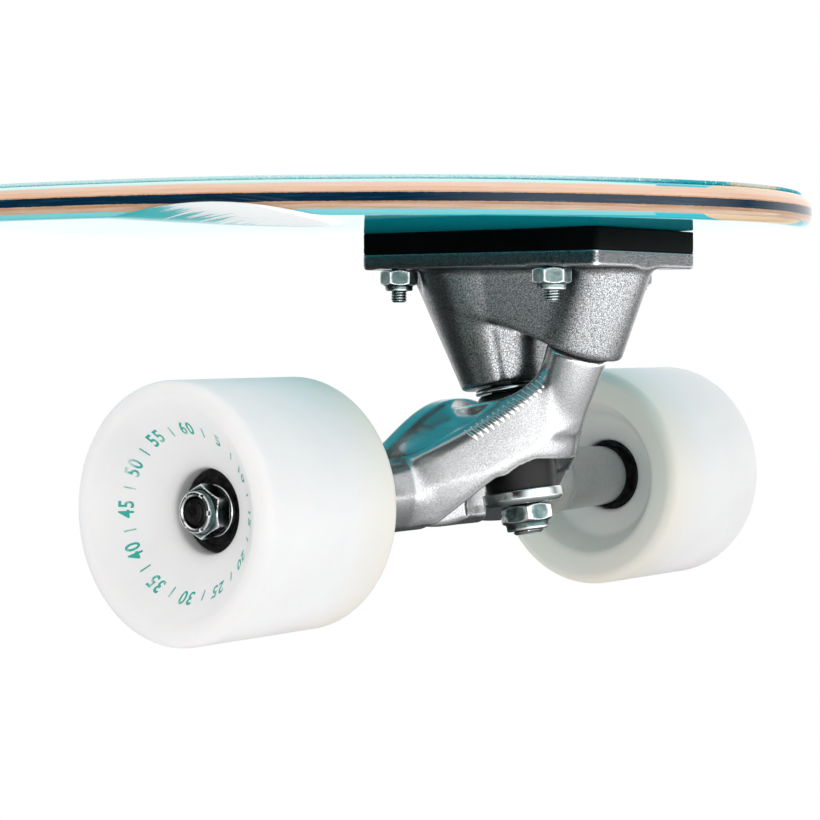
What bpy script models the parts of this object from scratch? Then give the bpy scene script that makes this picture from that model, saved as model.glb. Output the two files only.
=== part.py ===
"""A surfskate: laminated deck, two surf trucks with sprung hangers, and four urethane wheels on ball bearings.

The board points along +X, its left side is +Y, and it stands on the floor at Z = 0. A truck is modelled about
its own axle centre, with its pivot towards +X, and the rear one is turned half round.
"""

import math

import bmesh
import bpy
import numpy as np
from mathutils import Euler, Matrix, Vector

MM = 0.001

# Gaps that touching and running pieces keep
SEAT_GAP = 0.3 * MM
BORE_GAP = 0.25 * MM

# Points closer than this are one
WELD = 0.002 * MM

# Deck
DECK_LENGTH = 800 * MM
DECK_WIDTH = 240 * MM
DECK_THICKNESS = 9.2 * MM
RAIL_RADIUS = 3.2 * MM
NOSE_LENGTH = 300 * MM
TAIL_LENGTH = 330 * MM
NOSE_FULLNESS = 4.2
TAIL_FULLNESS = 3.0
CONCAVE = 2.15 * MM
DISH_START = 22 * MM
DISH_TURN = 40 * MM
NOSE_LIFT = 1.1 * MM
NOSE_LIFT_LENGTH = 80 * MM
KICK_RADIUS = 150 * MM
KICK_SLOPE = 0.27
KICK_SETBACK = 22 * MM
GRIP_THICKNESS = 0.8 * MM
GRIP_INSET = 3.6 * MM
INNER_RINGS = (0.2, 0.0)
OUTLINE_POINTS = 48
WELL_LENGTH = 62 * MM
WELL_DEPTH = 4.0 * MM
WELL_REACH = 46 * MM
WELL_FORWARD = 2.5 * MM

# Where the trucks stand
NOSE_OVERHANG = 105 * MM
BOLT_WHEELBASE = 460 * MM

# Mounting bolts
BOLT_SPACING_LONG = 53.98 * MM
BOLT_SPACING_WIDE = 41.28 * MM
BOLT_DIAMETER = 4.8 * MM
BOLT_HEAD_DIAMETER = 9.2 * MM
BOLT_HEAD_HEIGHT = 3.2 * MM
BOLT_BEYOND_NUT = 3.3 * MM
LOCK_NUT_FLATS = 9.5 * MM
LOCK_NUT_HEX_HEIGHT = 4.4 * MM
LOCK_NUT_COLLAR_HEIGHT = 1.6 * MM

# Riser pad and baseplate flange
RISER_THICKNESS = 5.3 * MM
RISER_INSET = 0.1 * MM
PLATE_LENGTH = 82 * MM
PLATE_WIDTH = 51 * MM
PLATE_THICKNESS = 4.7 * MM
PLATE_CORNER = 1.5 * MM
PLATE_FRONT = 67.4 * MM
PLATE_HEIGHT = 64.5 * MM
SPOT_FACE = 0.2 * MM
NUT_POCKET_RADIUS = 6.8 * MM
BOLTS_FRONT = 49.5 * MM

# Kingpin and the boss that holds it
KINGPIN_LEAN = math.radians(10.5)
SEAT_FORWARD = 19.3 * MM
SEAT_HEIGHT = 31.0 * MM
KINGPIN_DIAMETER = 9.5 * MM
KINGPIN_HEAD_FLATS = 14.3 * MM
KINGPIN_HEAD_HEIGHT = 6.3 * MM
KINGPIN_BEYOND_NUT = 1.8 * MM
KINGPIN_NUT_FLATS = 14.3 * MM
KINGPIN_NUT_HEX_HEIGHT = 5.0 * MM
KINGPIN_NUT_COLLAR_HEIGHT = 2.2 * MM
BOSS_RADIUS = 12.9 * MM
BOSS_DRAFT = 0.262
UPPER_WASHER_RADIUS = 9.4 * MM
UPPER_WASHER_THICKNESS = 1.6 * MM
UPPER_BUSHING_RADIUS = 9.2 * MM
UPPER_BUSHING_HEIGHT = 9.9 * MM
UPPER_BUSHING_BELLY = 1.0 * MM
BUSHING_EDGE = 0.8 * MM
RING_THICKNESS = 7.0 * MM
RING_BORE_RADIUS = 7.2 * MM
RECESS_RADIUS = 12.8 * MM
RECESS_DEPTH = 4.2 * MM
LOWER_BUSHING_TOP_RADIUS = 11.3 * MM
LOWER_BUSHING_FOOT_RADIUS = 10.1 * MM
LOWER_BUSHING_HEIGHT = 13.2 * MM
LOWER_WASHER_RADIUS = 11.8 * MM
LOWER_WASHER_THICKNESS = 1.8 * MM
LOWER_WASHER_CUP = 2.2 * MM
WASHER_WALL = 1.2 * MM
LOWER_CAVITY_RADIUS = 15.0 * MM
LOWER_CAVITY_FOOT_RADIUS = 18.0 * MM
PAN_RADIUS = 17.2 * MM
PAN_TOP = 2.5 * MM

# Pivot: the hanger's pin, its urethane cup and the housing round it
PIVOT_LEAN = math.radians(20)
NECK_FORWARD = 44.0 * MM
NECK_HEIGHT = 41.0 * MM
NECK_RADIUS = 8.9 * MM
NECK_ROOT_RADIUS = 7.4 * MM
NECK_LENGTH = 22 * MM
PIVOT_RADIUS = 6.0 * MM
PIVOT_LENGTH = 13 * MM
CUP_WALL = 2.2 * MM
CUP_FLANGE = 1.0 * MM
CUP_TOP = 2.0 * MM
HOUSING_RADIUS = 12.4 * MM
HOUSING_DRAFT = 0.035
WEB_INSET = 0.1 * MM

# Hanger
HANGER_WIDTH = 158 * MM
ARM_NOSE_RADIUS = 6.5 * MM
ARM_NOSE_LENGTH = 3.2 * MM
ARM_END_EDGE = 0.8 * MM
ARM_END_RADIUS = 9.4 * MM
BEAM_RADIUS = 10.6 * MM
BEAM_SPAN = 30 * MM
BOW_NOSE = 43.5 * MM
BOW_SHOULDER = 33 * MM
BOW_SHOULDER_FORWARD = 6 * MM
BOW_CURVE = 1.6
BOW_TUCK = 5.5 * MM
RIM_TOP = 43.5 * MM
RIM_MIDDLE = 25.5 * MM
RIM_SHOULDER = 9.0 * MM
RIM_CAP = 40.0 * MM
RIM_WIDTH = 4.5 * MM
ARM_CREST = 8.2 * MM
PAN_DEPTH = 3.5 * MM
FOOT_NOSE = 2.5 * MM
FOOT_ARM = -8.2 * MM
BACK_WALL_HEIGHT = 27.0 * MM
BACK_WALL_TOP = 9.0 * MM
BODY_SPAN = 46 * MM
BODY_STATIONS = 8
WINDOW_HEIGHT = 10.1 * MM
WINDOW_STEP = 5.4 * MM
WINDOW_START = -6.0 * MM
WINDOW_LOW_START = 7.4 * MM
WINDOW_HIGH_START = 16.5 * MM
WINDOW_END = 30.0 * MM
WINDOW_LOW_CORNER = 2.5 * MM
WINDOW_HIGH_CORNER = 3.5 * MM
WINDOW_DEPTH = 9.3 * MM
WINDOW_REACH = 33.0 * MM

# Axle and wheels
AXLE_DIAMETER = 7.94 * MM
AXLE_LENGTH = 224 * MM
SPEED_WASHER_RADIUS = 6.6 * MM
SPEED_WASHER_THICKNESS = 1.0 * MM
AXLE_NUT_FLATS = 12.7 * MM
AXLE_NUT_HEX_HEIGHT = 5.2 * MM
AXLE_NUT_COLLAR_HEIGHT = 2.0 * MM
AXLE_NUT_WASHER_RADIUS = 6.9 * MM
NUT_COLLAR_SHARE = 0.84
BEARING_RADIUS = 11 * MM
BEARING_WIDTH = 7 * MM
BEARING_SHIELD_DEPTH = 0.5 * MM
BEARING_RACE = 1.8 * MM
SPACER_WIDTH = 4.6 * MM
SPACER_RADIUS = 5.6 * MM
WHEEL_DIAMETER = 69 * MM
WHEEL_WIDTH = 53 * MM
WHEEL_LIP_RADIUS = 3.4 * MM
WHEEL_HUB_OFFSET = 1.5 * MM
WHEEL_DISH_RADIUS = 21.8 * MM
WHEEL_DISH_DEPTH = 7.5 * MM
WHEEL_MOUTH_RADIUS = 13.5 * MM
WHEEL_MOUTH_DEPTH = 13.2 * MM
WHEEL_MOUTH_EDGE = 2.8 * MM
WHEEL_RECESS_RADIUS = 25.5 * MM
WHEEL_RECESS_DEPTH = 1.3 * MM
WHEEL_BOWL_RADIUS = 19.5 * MM
WHEEL_BOWL_DEPTH = 10.5 * MM
WHEEL_SHOULDER = 3.2 * MM

# Places that follow from the sizes
AXLE_HEIGHT = WHEEL_DIAMETER / 2
PLATE_TOP = PLATE_HEIGHT + PLATE_THICKNESS
RISER_BOTTOM = PLATE_TOP + SEAT_GAP
DECK_UNDERSIDE = RISER_BOTTOM + RISER_THICKNESS + SEAT_GAP
PLATE_CENTRE = PLATE_FRONT - PLATE_LENGTH / 2
FRONT_AXLE = DECK_LENGTH / 2 - NOSE_OVERHANG
BOLTS_REAR = BOLTS_FRONT - BOLT_SPACING_LONG
REAR_AXLE = FRONT_AXLE + 2 * BOLTS_REAR - BOLT_WHEELBASE
KINGPIN_DOWN = Vector((math.sin(KINGPIN_LEAN), 0, -math.cos(KINGPIN_LEAN)))
KINGPIN_SEAT = Vector((SEAT_FORWARD, 0, SEAT_HEIGHT))
UPPER_BUSHING_TOP = 2 * SEAT_GAP + UPPER_WASHER_THICKNESS
RING_TOP = UPPER_BUSHING_TOP + UPPER_BUSHING_HEIGHT + SEAT_GAP
RING_FOOT = RING_TOP + RING_THICKNESS
LOWER_BUSHING_TOP = RING_FOOT + SEAT_GAP
LOWER_WASHER_PLATE = LOWER_BUSHING_TOP + LOWER_BUSHING_HEIGHT + SEAT_GAP
KINGPIN_NUT_TOP = LOWER_WASHER_PLATE + LOWER_WASHER_THICKNESS + SEAT_GAP
KINGPIN_NUT_FOOT = KINGPIN_NUT_TOP + KINGPIN_NUT_HEX_HEIGHT + KINGPIN_NUT_COLLAR_HEIGHT
RING_CENTRE = KINGPIN_SEAT + KINGPIN_DOWN * (RING_TOP + RING_THICKNESS / 2)
PIVOT_UP = Vector((math.sin(PIVOT_LEAN), 0, math.cos(PIVOT_LEAN)))
NECK_TOP = Vector((NECK_FORWARD, 0, NECK_HEIGHT))
PIVOT_CENTRE = NECK_TOP + PIVOT_UP * (PIVOT_LENGTH / 2)
CUP_FOOT = SEAT_GAP
HOUSING_FOOT = CUP_FOOT + CUP_FLANGE + SEAT_GAP
CUP_RADIUS = PIVOT_RADIUS + SEAT_GAP + CUP_WALL
CUP_HEAD = PIVOT_LENGTH + SEAT_GAP + CUP_TOP
BEARING_PAIR = 2 * BEARING_WIDTH + SPACER_WIDTH + 2 * SEAT_GAP
INNER_WASHER = HANGER_WIDTH / 2 + ARM_NOSE_LENGTH + SEAT_GAP
BEARING_CENTRE = INNER_WASHER + SPEED_WASHER_THICKNESS + SEAT_GAP + BEARING_PAIR / 2
WHEEL_CENTRE = BEARING_CENTRE + WHEEL_HUB_OFFSET
AXLE_NUT_FOOT = BEARING_CENTRE + BEARING_PAIR / 2 + SEAT_GAP

# How finely round pieces are cut
FINE_STEPS = 20
STEPS = 12
SMALL_STEPS = 10
BORE_STEPS = 12
WHEEL_STEPS = 20
WELL_STEPS = 84


def clear_scene():
    for old in list(bpy.data.objects):
        bpy.data.objects.remove(old, do_unlink=True)


def collection(name, hidden=False):
    made = bpy.data.collections.new(name)
    bpy.context.scene.collection.children.link(made)
    made.hide_render = hidden
    return made


def material(name, colour, roughness, metallic=0.0):
    made = bpy.data.materials.new(name)
    made.use_nodes = True
    shader = made.node_tree.nodes["Principled BSDF"]
    shader.inputs["Base Color"].default_value = (*colour, 1.0)
    shader.inputs["Roughness"].default_value = roughness
    shader.inputs["Metallic"].default_value = metallic
    made.diffuse_color = (*colour, 1.0)
    return made


clear_scene()
PARTS = collection("surfskate")
CUTTERS = collection("cutters", hidden=True)

LACQUERED_MAPLE = material("lacquered_maple", (0.62, 0.36, 0.18), 0.3)
GRIP = material("grip", (0.55, 0.8, 0.82), 0.8)
BLACK_RUBBER = material("black_rubber", (0.012, 0.012, 0.012), 0.5)
CAST_ALUMINIUM = material("cast_aluminium", (0.42, 0.43, 0.44), 0.42, 1.0)
HANGER_ALUMINIUM = material("hanger_aluminium", (0.62, 0.63, 0.64), 0.3, 1.0)
ZINC_STEEL = material("zinc_steel", (0.6, 0.68, 0.68), 0.2, 1.0)
BLACK_URETHANE = material("black_urethane", (0.012, 0.012, 0.013), 0.3)
WHITE_URETHANE = material("white_urethane", (0.85, 0.85, 0.84), 0.45)
BEARING_STEEL = material("bearing_steel", (0.06, 0.06, 0.065), 0.35, 0.6)


def empty(name, parent=None, location=(0, 0, 0), rotation=(0, 0, 0)):
    made = bpy.data.objects.new(name, None)
    PARTS.objects.link(made)
    made.parent = parent
    made.location = location
    made.rotation_euler = Euler(rotation)
    return made


def piece(name, mesh, finish=None, parent=None, location=(0, 0, 0), rotation=(0, 0, 0)):
    """An object of the part, or a cutter where it has no finish."""
    made = bpy.data.objects.new(name, mesh)
    if finish is None:
        CUTTERS.objects.link(made)
        made.hide_render = True
        made.display_type = "WIRE"
    else:
        PARTS.objects.link(made)
        if not mesh.materials:
            mesh.materials.append(finish)
    made.parent = parent
    made.location = location
    made.rotation_euler = Euler(rotation)
    return made


def smooth(mesh, degrees=35):
    mesh.shade_smooth()
    mesh.set_sharp_from_angle(angle=math.radians(degrees))


def mesh_of(name, shape):
    """A mesh from a bmesh, which is freed."""
    made = bpy.data.meshes.new(name)
    bmesh.ops.recalc_face_normals(shape, faces=shape.faces)
    shape.to_mesh(made)
    shape.free()
    return made


def blank(name, data):
    """An object that is there only to carry modifiers."""
    made = bpy.data.objects.new(name, data)
    CUTTERS.objects.link(made)
    return made


def baked(made):
    """The mesh that an object's modifiers give, welded. The object is removed."""
    name = made.name
    graph = bpy.context.evaluated_depsgraph_get()
    mesh = bpy.data.meshes.new_from_object(made.evaluated_get(graph))
    bpy.data.objects.remove(made)
    shape = bmesh.new()
    shape.from_mesh(mesh)
    bpy.data.meshes.remove(mesh)
    bmesh.ops.remove_doubles(shape, verts=shape.verts, dist=WELD)
    return mesh_of(name, shape)


def turned(name, profile, steps=STEPS, ring=False):
    """A profile of (radius, height), down its outer side, turned about Z. A ring's profile is a closed loop."""
    outline = bpy.data.meshes.new(name)
    last = len(profile) - 1
    edges = [(i, i + 1) for i in range(last)] + ([(last, 0)] if ring else [])
    outline.from_pydata([(radius, 0, height) for radius, height in profile], edges, [])
    lathe = blank(name, outline)
    screw = lathe.modifiers.new("turn", "SCREW")
    screw.steps = steps
    screw.render_steps = steps
    screw.use_merge_vertices = True
    screw.merge_threshold = WELD
    made = baked(lathe)
    smooth(made)
    return made


def cylinder(name, radius, foot, top, steps=STEPS, top_radius=None):
    """A cylinder between two heights, or a cone where its top has a radius of its own."""
    shape = bmesh.new()
    bmesh.ops.create_cone(
        shape,
        cap_ends=True,
        segments=steps,
        radius1=radius,
        radius2=radius if top_radius is None else top_radius,
        depth=top - foot,
        matrix=Matrix.Translation((0, 0, (foot + top) / 2)),
    )
    made = mesh_of(name, shape)
    smooth(made)
    return made


def arc(centre_x, centre_y, radius, start, end, count):
    angles = np.radians(np.linspace(start, end, count))
    return [
        (float(centre_x + radius * math.cos(angle)), float(centre_y + radius * math.sin(angle)))
        for angle in angles
    ]


def prism(name, outline, foot, top):
    """A flat outline of (x, y), as a filled 2D curve, made a body between two heights."""
    curve = bpy.data.curves.new(name, "CURVE")
    curve.dimensions = "2D"
    curve.fill_mode = "BOTH"
    curve.extrude = (top - foot) / 2
    spline = curve.splines.new("POLY")
    spline.points.add(len(outline) - 1)
    for point, (x, y) in zip(spline.points, outline):
        point.co = (x, y, 0, 1)
    spline.use_cyclic_u = True
    made = baked(blank(name, curve))
    made.transform(Matrix.Translation((0, 0, (foot + top) / 2)))
    return made


def half_loft(name, sections):
    """Half of a body, through closed loops of equal length: open at the first, closed at the last."""
    shape = bmesh.new()
    loops = [[shape.verts.new(tuple(point)) for point in section] for section in sections]
    count = len(loops[0])
    for first, second in zip(loops, loops[1:]):
        for i in range(count):
            j = (i + 1) % count
            shape.faces.new((first[i], first[j], second[j], second[i]))
    shape.faces.new(loops[-1][::-1])
    bmesh.ops.triangulate(shape, faces=shape.faces)
    return mesh_of(name, shape)


def mirrored(name, half):
    """A body and its image across the truck's middle plane."""
    body = blank(name, half)
    step = body.modifiers.new("mirror", "MIRROR")
    step.use_axis = (False, True, False)
    step.use_bisect_axis = (False, True, False)
    step.bisect_threshold = WELD
    step.merge_threshold = WELD
    made = baked(body)
    smooth(made)
    return made


def hull(name, points):
    """The tightest body without hollows round some points."""
    shape = bmesh.new()
    for point in points:
        shape.verts.new(point)
    found = bmesh.ops.convex_hull(shape, input=shape.verts)
    inner = [item for item in found["geom_interior"] if isinstance(item, bmesh.types.BMVert)]
    bmesh.ops.delete(shape, geom=inner, context="VERTS")
    made = mesh_of(name, shape)
    smooth(made)
    return made


def rounded_rectangle(centre, length, width, corner, count=4):
    half_length = length / 2 - corner
    half_width = width / 2 - corner
    outline = []
    for side_x, side_y, start in ((1, -1, -90), (1, 1, 0), (-1, 1, 90), (-1, -1, 180)):
        outline += arc(
            centre + side_x * half_length, side_y * half_width, corner, start, start + 90, count
        )
    return outline


def hexagon(flats):
    corner = flats / math.sqrt(3)
    return [
        (corner * math.cos(math.radians(60 * i)), corner * math.sin(math.radians(60 * i)))
        for i in range(6)
    ]


def boolean(target, other, operation):
    step = target.modifiers.new(f"{operation.lower()}_{other.name}", "BOOLEAN")
    step.object = other
    step.operation = operation
    step.solver = "EXACT"


def cut(target, name, mesh, parent=None, location=(0, 0, 0), rotation=(0, 0, 0)):
    boolean(target, piece(name, mesh, None, parent, location, rotation), "DIFFERENCE")


def join(target, name, mesh, parent=None, location=(0, 0, 0), rotation=(0, 0, 0)):
    boolean(target, piece(name, mesh, None, parent, location, rotation), "UNION")


def lock_nut_mesh(name, flats, hex_height, collar_height, bore, washer_radius=0.0, washer_height=0.0):
    """A hexagon with a round collar above it, a washer face below it where it has one, and a bore through."""
    collar = washer_height + hex_height
    collar_radius = flats / 2 * NUT_COLLAR_SHARE
    top = collar + collar_height
    nut = blank(name, cylinder(f"{name}_hexagon", flats / math.sqrt(3), washer_height, collar, 6))
    tools = [blank(f"{name}_collar", cylinder(name, collar_radius, collar - WELD, top, SMALL_STEPS))]
    if washer_height:
        washer = cylinder(name, washer_radius, 0, washer_height + WELD, SMALL_STEPS)
        tools.append(blank(f"{name}_washer", washer))
    for tool in tools:
        boolean(nut, tool, "UNION")
    tools.append(blank(f"{name}_bore", cylinder(name, bore, -hex_height, top + hex_height, BORE_STEPS)))
    boolean(nut, tools[-1], "DIFFERENCE")
    made = baked(nut)
    for tool in tools:
        bpy.data.objects.remove(tool)
    smooth(made, 25)
    return made


# Deck: outline, height of its underside, and the shell between them


def half_width(x):
    """Half the deck's width at x: a blunt round nose and a squarer tail, widest between."""
    from_nose = np.clip((DECK_LENGTH / 2 - x) / NOSE_LENGTH, 0, 1)
    from_tail = np.clip((x + DECK_LENGTH / 2) / TAIL_LENGTH, 0, 1)
    nose = np.sqrt(1 - (1 - from_nose) ** NOSE_FULLNESS)
    tail = (1 - (1 - from_tail) ** TAIL_FULLNESS) ** 0.42
    return DECK_WIDTH / 2 * nose * tail


def underside(x, y):
    """Height of the underside: level in the middle, its sides drawn up, the nose lifted and the tail kicked."""
    across = np.clip((np.abs(y) - DISH_START) / DISH_TURN, 0, None)
    full = (DECK_WIDTH / 2 - DISH_START) / DISH_TURN
    dish = CONCAVE * (np.hypot(1, across) - 1) / (math.hypot(1, full) - 1)
    nose_run = np.clip((x - DECK_LENGTH / 2 + NOSE_LIFT_LENGTH) / NOSE_LIFT_LENGTH, 0, None)
    kick_start = REAR_AXLE - PLATE_FRONT - KICK_SETBACK
    run = np.clip(kick_start - x, 0, None)
    curved = np.minimum(run, KICK_RADIUS * KICK_SLOPE)
    kick = curved**2 / (2 * KICK_RADIUS) + KICK_SLOPE * (run - curved)
    return AXLE_HEIGHT + DECK_UNDERSIDE + dish + NOSE_LIFT * nose_run**2 + kick


def deck_outline(inset):
    """Points round the deck, nose first, moved inwards along the outline's normal."""
    turn = np.linspace(0, 2 * math.pi, OUTLINE_POINTS, endpoint=False)
    x = DECK_LENGTH / 2 * np.sign(np.cos(turn)) * np.abs(np.cos(turn)) ** 0.9
    x = np.clip(x, -DECK_LENGTH / 2, DECK_LENGTH / 2)
    y = half_width(x) * np.where(np.sin(turn) < 0, -1, 1)
    along_x = np.roll(x, -1) - np.roll(x, 1)
    along_y = np.roll(y, -1) - np.roll(y, 1)
    length = np.hypot(along_x, along_y)
    return x - inset * along_y / length, y + inset * along_x / length


def board_surface(name, insets):
    """An open surface over the underside: rings at the insets from the outline, then rings in to the spine."""
    rings = [deck_outline(inset) for inset in insets]
    x, y = deck_outline(GRIP_INSET)
    spine = np.clip(x, DECK_WIDTH / 3 - DECK_LENGTH / 2, DECK_LENGTH / 2 - DECK_WIDTH / 3)
    rings += [(spine + (x - spine) * share, y * share) for share in INNER_RINGS]
    shape = bmesh.new()
    grid = bmesh.ops.create_grid(shape, x_segments=OUTLINE_POINTS, y_segments=len(rings) - 1, size=1)
    columns = np.arange(OUTLINE_POINTS + 1) % OUTLINE_POINTS
    x = np.concatenate([ring_x[columns] for ring_x, ring_y in rings])
    y = np.concatenate([ring_y[columns] for ring_x, ring_y in rings])
    for vertex, place in zip(grid["verts"], zip(x, y, underside(x, y))):
        vertex.co = place
    bmesh.ops.remove_doubles(shape, verts=shape.verts, dist=WELD)
    bmesh.ops.dissolve_degenerate(shape, edges=shape.edges, dist=WELD)
    bmesh.ops.triangulate(shape, faces=shape.faces, quad_method="SHORT_EDGE")
    made = bpy.data.meshes.new(name)
    bmesh.ops.recalc_face_normals(shape, faces=shape.faces)
    if sum(face.normal.z for face in shape.faces) < 0:
        bmesh.ops.reverse_faces(shape, faces=shape.faces)
    shape.to_mesh(made)
    shape.free()
    return made


def thicken(sheet, thickness, lift=0.0):
    """Raises an open surface along its normals and gives it thickness upwards."""
    if lift:
        raised = sheet.modifiers.new("raise", "DISPLACE")
        raised.direction = "NORMAL"
        raised.mid_level = 0.0
        raised.strength = lift
    step = sheet.modifiers.new("thickness", "SOLIDIFY")
    step.thickness = thickness
    step.offset = 1.0
    step.use_even_offset = True


def bolt_places():
    """The middle of each mounting bolt in a truck's own frame."""
    return [
        (f"{end}_{side}", along, across)
        for end, along in (("outer", BOLTS_FRONT), ("inner", BOLTS_REAR))
        for side, across in (("a", -BOLT_SPACING_WIDE / 2), ("b", BOLT_SPACING_WIDE / 2))
    ]


def make_deck(trucks):
    """The laminate, with its rail rounded, and the grip sheet on it."""
    deck = piece("deck", board_surface("deck", (0.0, GRIP_INSET)), LACQUERED_MAPLE)
    thicken(deck, DECK_THICKNESS)
    rail = deck.modifiers.new("rail", "BEVEL")
    rail.width = RAIL_RADIUS
    rail.segments = 2
    rail.limit_method = "ANGLE"
    rail.angle_limit = math.radians(60)
    rail.use_clamp_overlap = False
    grip = piece("grip_sheet", board_surface("grip_sheet", (GRIP_INSET,)), GRIP)
    thicken(grip, GRIP_THICKNESS, DECK_THICKNESS + SEAT_GAP)
    top = DECK_UNDERSIDE + DECK_THICKNESS
    above = top + GRIP_THICKNESS * 5
    below = DECK_UNDERSIDE - RISER_THICKNESS / 2
    stem = BOLT_DIAMETER / 2 + BORE_GAP
    head = BOLT_HEAD_DIAMETER / 2 + BORE_GAP
    rim = top - SEAT_GAP
    seat = top - BOLT_HEAD_HEIGHT
    hole = [(0, above), (head, above), (head, rim), (stem, seat), (stem, below), (0, below)]
    hole_mesh = turned("deck_bolt_hole", hole, SMALL_STEPS)
    for truck_name, truck in trucks:
        for place, along, across in bolt_places():
            cutter = piece(f"{truck_name}_hole_{place}", hole_mesh, None, truck, (along, across, 0))
            boolean(deck, cutter, "DIFFERENCE")
            boolean(grip, cutter, "DIFFERENCE")
        make_wheel_wells(deck, truck_name, truck)
    return deck, grip


def make_wheel_wells(deck, truck_name, truck):
    """A shallow scoop milled in the underside over each wheel, deepest at the rail."""
    scoop_radius = (WELL_LENGTH**2 / 4 + WELL_DEPTH**2) / (2 * WELL_DEPTH)
    tilt = math.atan2(WELL_DEPTH, WELL_REACH)
    mesh = cylinder("wheel_well", scoop_radius, -WELL_REACH, WELL_REACH, WELL_STEPS)
    for side in (-1, 1):
        rail = side * float(half_width(truck.location.x))
        height = float(underside(truck.location.x, rail)) - AXLE_HEIGHT + WELL_DEPTH - scoop_radius
        turned_side = -side if truck.rotation_euler.z else side
        cut(
            deck,
            f"{truck_name}_well_{'b' if side > 0 else 'a'}",
            mesh,
            truck,
            (WELL_FORWARD, rail * turned_side * side, height),
            (math.pi / 2 - turned_side * tilt, 0, 0),
        )


# Baseplate, riser pad and their bolts


def make_riser(truck_name, truck):
    outline = rounded_rectangle(
        PLATE_CENTRE, PLATE_LENGTH - 2 * RISER_INSET, PLATE_WIDTH - 2 * RISER_INSET, PLATE_CORNER, 3
    )
    riser = piece(
        f"{truck_name}_riser_pad",
        prism("riser_pad", outline, RISER_BOTTOM, RISER_BOTTOM + RISER_THICKNESS),
        BLACK_RUBBER,
        truck,
    )
    hole = cylinder("riser_hole", BOLT_DIAMETER / 2 + BORE_GAP, 0, RISER_THICKNESS * 3, SMALL_STEPS)
    for place, along, across in bolt_places():
        cut(
            riser,
            f"{truck_name}_riser_hole_{place}",
            hole,
            truck,
            (along, across, RISER_BOTTOM - RISER_THICKNESS),
        )
    return riser


def make_baseplate(truck_name, truck, kingpin_axis, pivot_axis):
    """One casting: flange, kingpin boss, pivot housing and the web that joins them."""
    outline = rounded_rectangle(PLATE_CENTRE, PLATE_LENGTH, PLATE_WIDTH, PLATE_CORNER)
    flange = prism("baseplate", outline, PLATE_HEIGHT, PLATE_TOP + SEAT_GAP)
    plate = piece(f"{truck_name}_baseplate", flange, CAST_ALUMINIUM, truck)
    boss_top = (PLATE_TOP + PLATE_THICKNESS - SEAT_HEIGHT) / math.cos(KINGPIN_LEAN)
    boss = cylinder("kingpin_boss", BOSS_RADIUS, 0, boss_top, FINE_STEPS, BOSS_RADIUS + BOSS_DRAFT * boss_top)
    join(plate, f"{truck_name}_boss", boss, kingpin_axis)
    join(plate, f"{truck_name}_housing", housing_mesh(boss_top + PLATE_THICKNESS / 2), truck)
    top_cut = cylinder("flange_level", PLATE_LENGTH, PLATE_TOP, PLATE_TOP + PLATE_LENGTH / 2, SMALL_STEPS)
    cut(plate, f"{truck_name}_level", top_cut, truck, (PLATE_CENTRE, 0, 0))
    stem = KINGPIN_DIAMETER / 2 + BORE_GAP
    head = KINGPIN_HEAD_FLATS / math.sqrt(3) + BORE_GAP
    counterbore = [
        (0, boss_top * 2),
        (head, boss_top * 2),
        (head, kingpin_head_seat()),
        (stem, kingpin_head_seat()),
        (stem, -KINGPIN_HEAD_HEIGHT),
        (0, -KINGPIN_HEAD_HEIGHT),
    ]
    cut(plate, f"{truck_name}_kingpin_bore", turned("kingpin_bore", counterbore), kingpin_axis)
    socket = cylinder(
        "pivot_socket", CUP_RADIUS + SEAT_GAP, 0, CUP_HEAD + SEAT_GAP, STEPS
    )
    cut(plate, f"{truck_name}_socket", socket, pivot_axis)
    stem = BOLT_DIAMETER / 2 + BORE_GAP
    through = PLATE_TOP + PLATE_THICKNESS
    pocket = [
        (0, through),
        (stem, through),
        (stem, PLATE_HEIGHT + SPOT_FACE),
        (NUT_POCKET_RADIUS, PLATE_HEIGHT + SPOT_FACE),
        (NUT_POCKET_RADIUS, PLATE_HEIGHT / 2),
        (0, PLATE_HEIGHT / 2),
    ]
    pocket_mesh = turned("nut_pocket", pocket, SMALL_STEPS)
    for place, along, across in bolt_places():
        cut(plate, f"{truck_name}_nut_pocket_{place}", pocket_mesh, truck, (along, across, 0))
    return plate


def kingpin_head_seat():
    """Height along the kingpin of the face its head sits on, sunk just below the flange's top."""
    top = (PLATE_TOP - SEAT_HEIGHT) / math.cos(KINGPIN_LEAN)
    lean_loss = KINGPIN_HEAD_FLATS / 2 * math.tan(KINGPIN_LEAN)
    return top - KINGPIN_HEAD_HEIGHT - lean_loss - 2 * SEAT_GAP


def housing_mesh(boss_top):
    """The pivot's housing and the flush web that runs back to the boss, level with the housing's foot.

    It is the hull of four circles: the housing's foot and top, the boss's top, and the boss where the plane of
    the housing's foot meets it.
    """
    boss_frame = Matrix.Translation(KINGPIN_SEAT) @ Matrix.Rotation(-KINGPIN_LEAN, 4, "Y")
    pivot_frame = Matrix.Translation(NECK_TOP) @ Matrix.Rotation(PIVOT_LEAN, 4, "Y")
    housing_top = (PLATE_TOP + PLATE_THICKNESS * 0.2 - NECK_HEIGHT) / math.cos(PIVOT_LEAN)
    foot_plane = NECK_TOP + PIVOT_UP * HOUSING_FOOT
    points = []
    for i in range(FINE_STEPS):
        turn = 2 * math.pi * (i + 0.5) / FINE_STEPS
        along, across = math.cos(turn), math.sin(turn)
        for height in (HOUSING_FOOT, housing_top):
            radius = HOUSING_RADIUS + HOUSING_DRAFT * height
            points.append(pivot_frame @ Vector((radius * along, radius * across, height)))
        foot_radius = BOSS_RADIUS - WEB_INSET
        top_radius = foot_radius + BOSS_DRAFT * boss_top
        foot = boss_frame @ Vector((foot_radius * along, foot_radius * across, 0))
        top = boss_frame @ Vector((top_radius * along, top_radius * across, boss_top))
        share = (foot_plane - foot).dot(PIVOT_UP) / (top - foot).dot(PIVOT_UP)
        points += [foot + (top - foot) * share, top]
    return hull("pivot_housing", points)


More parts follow.
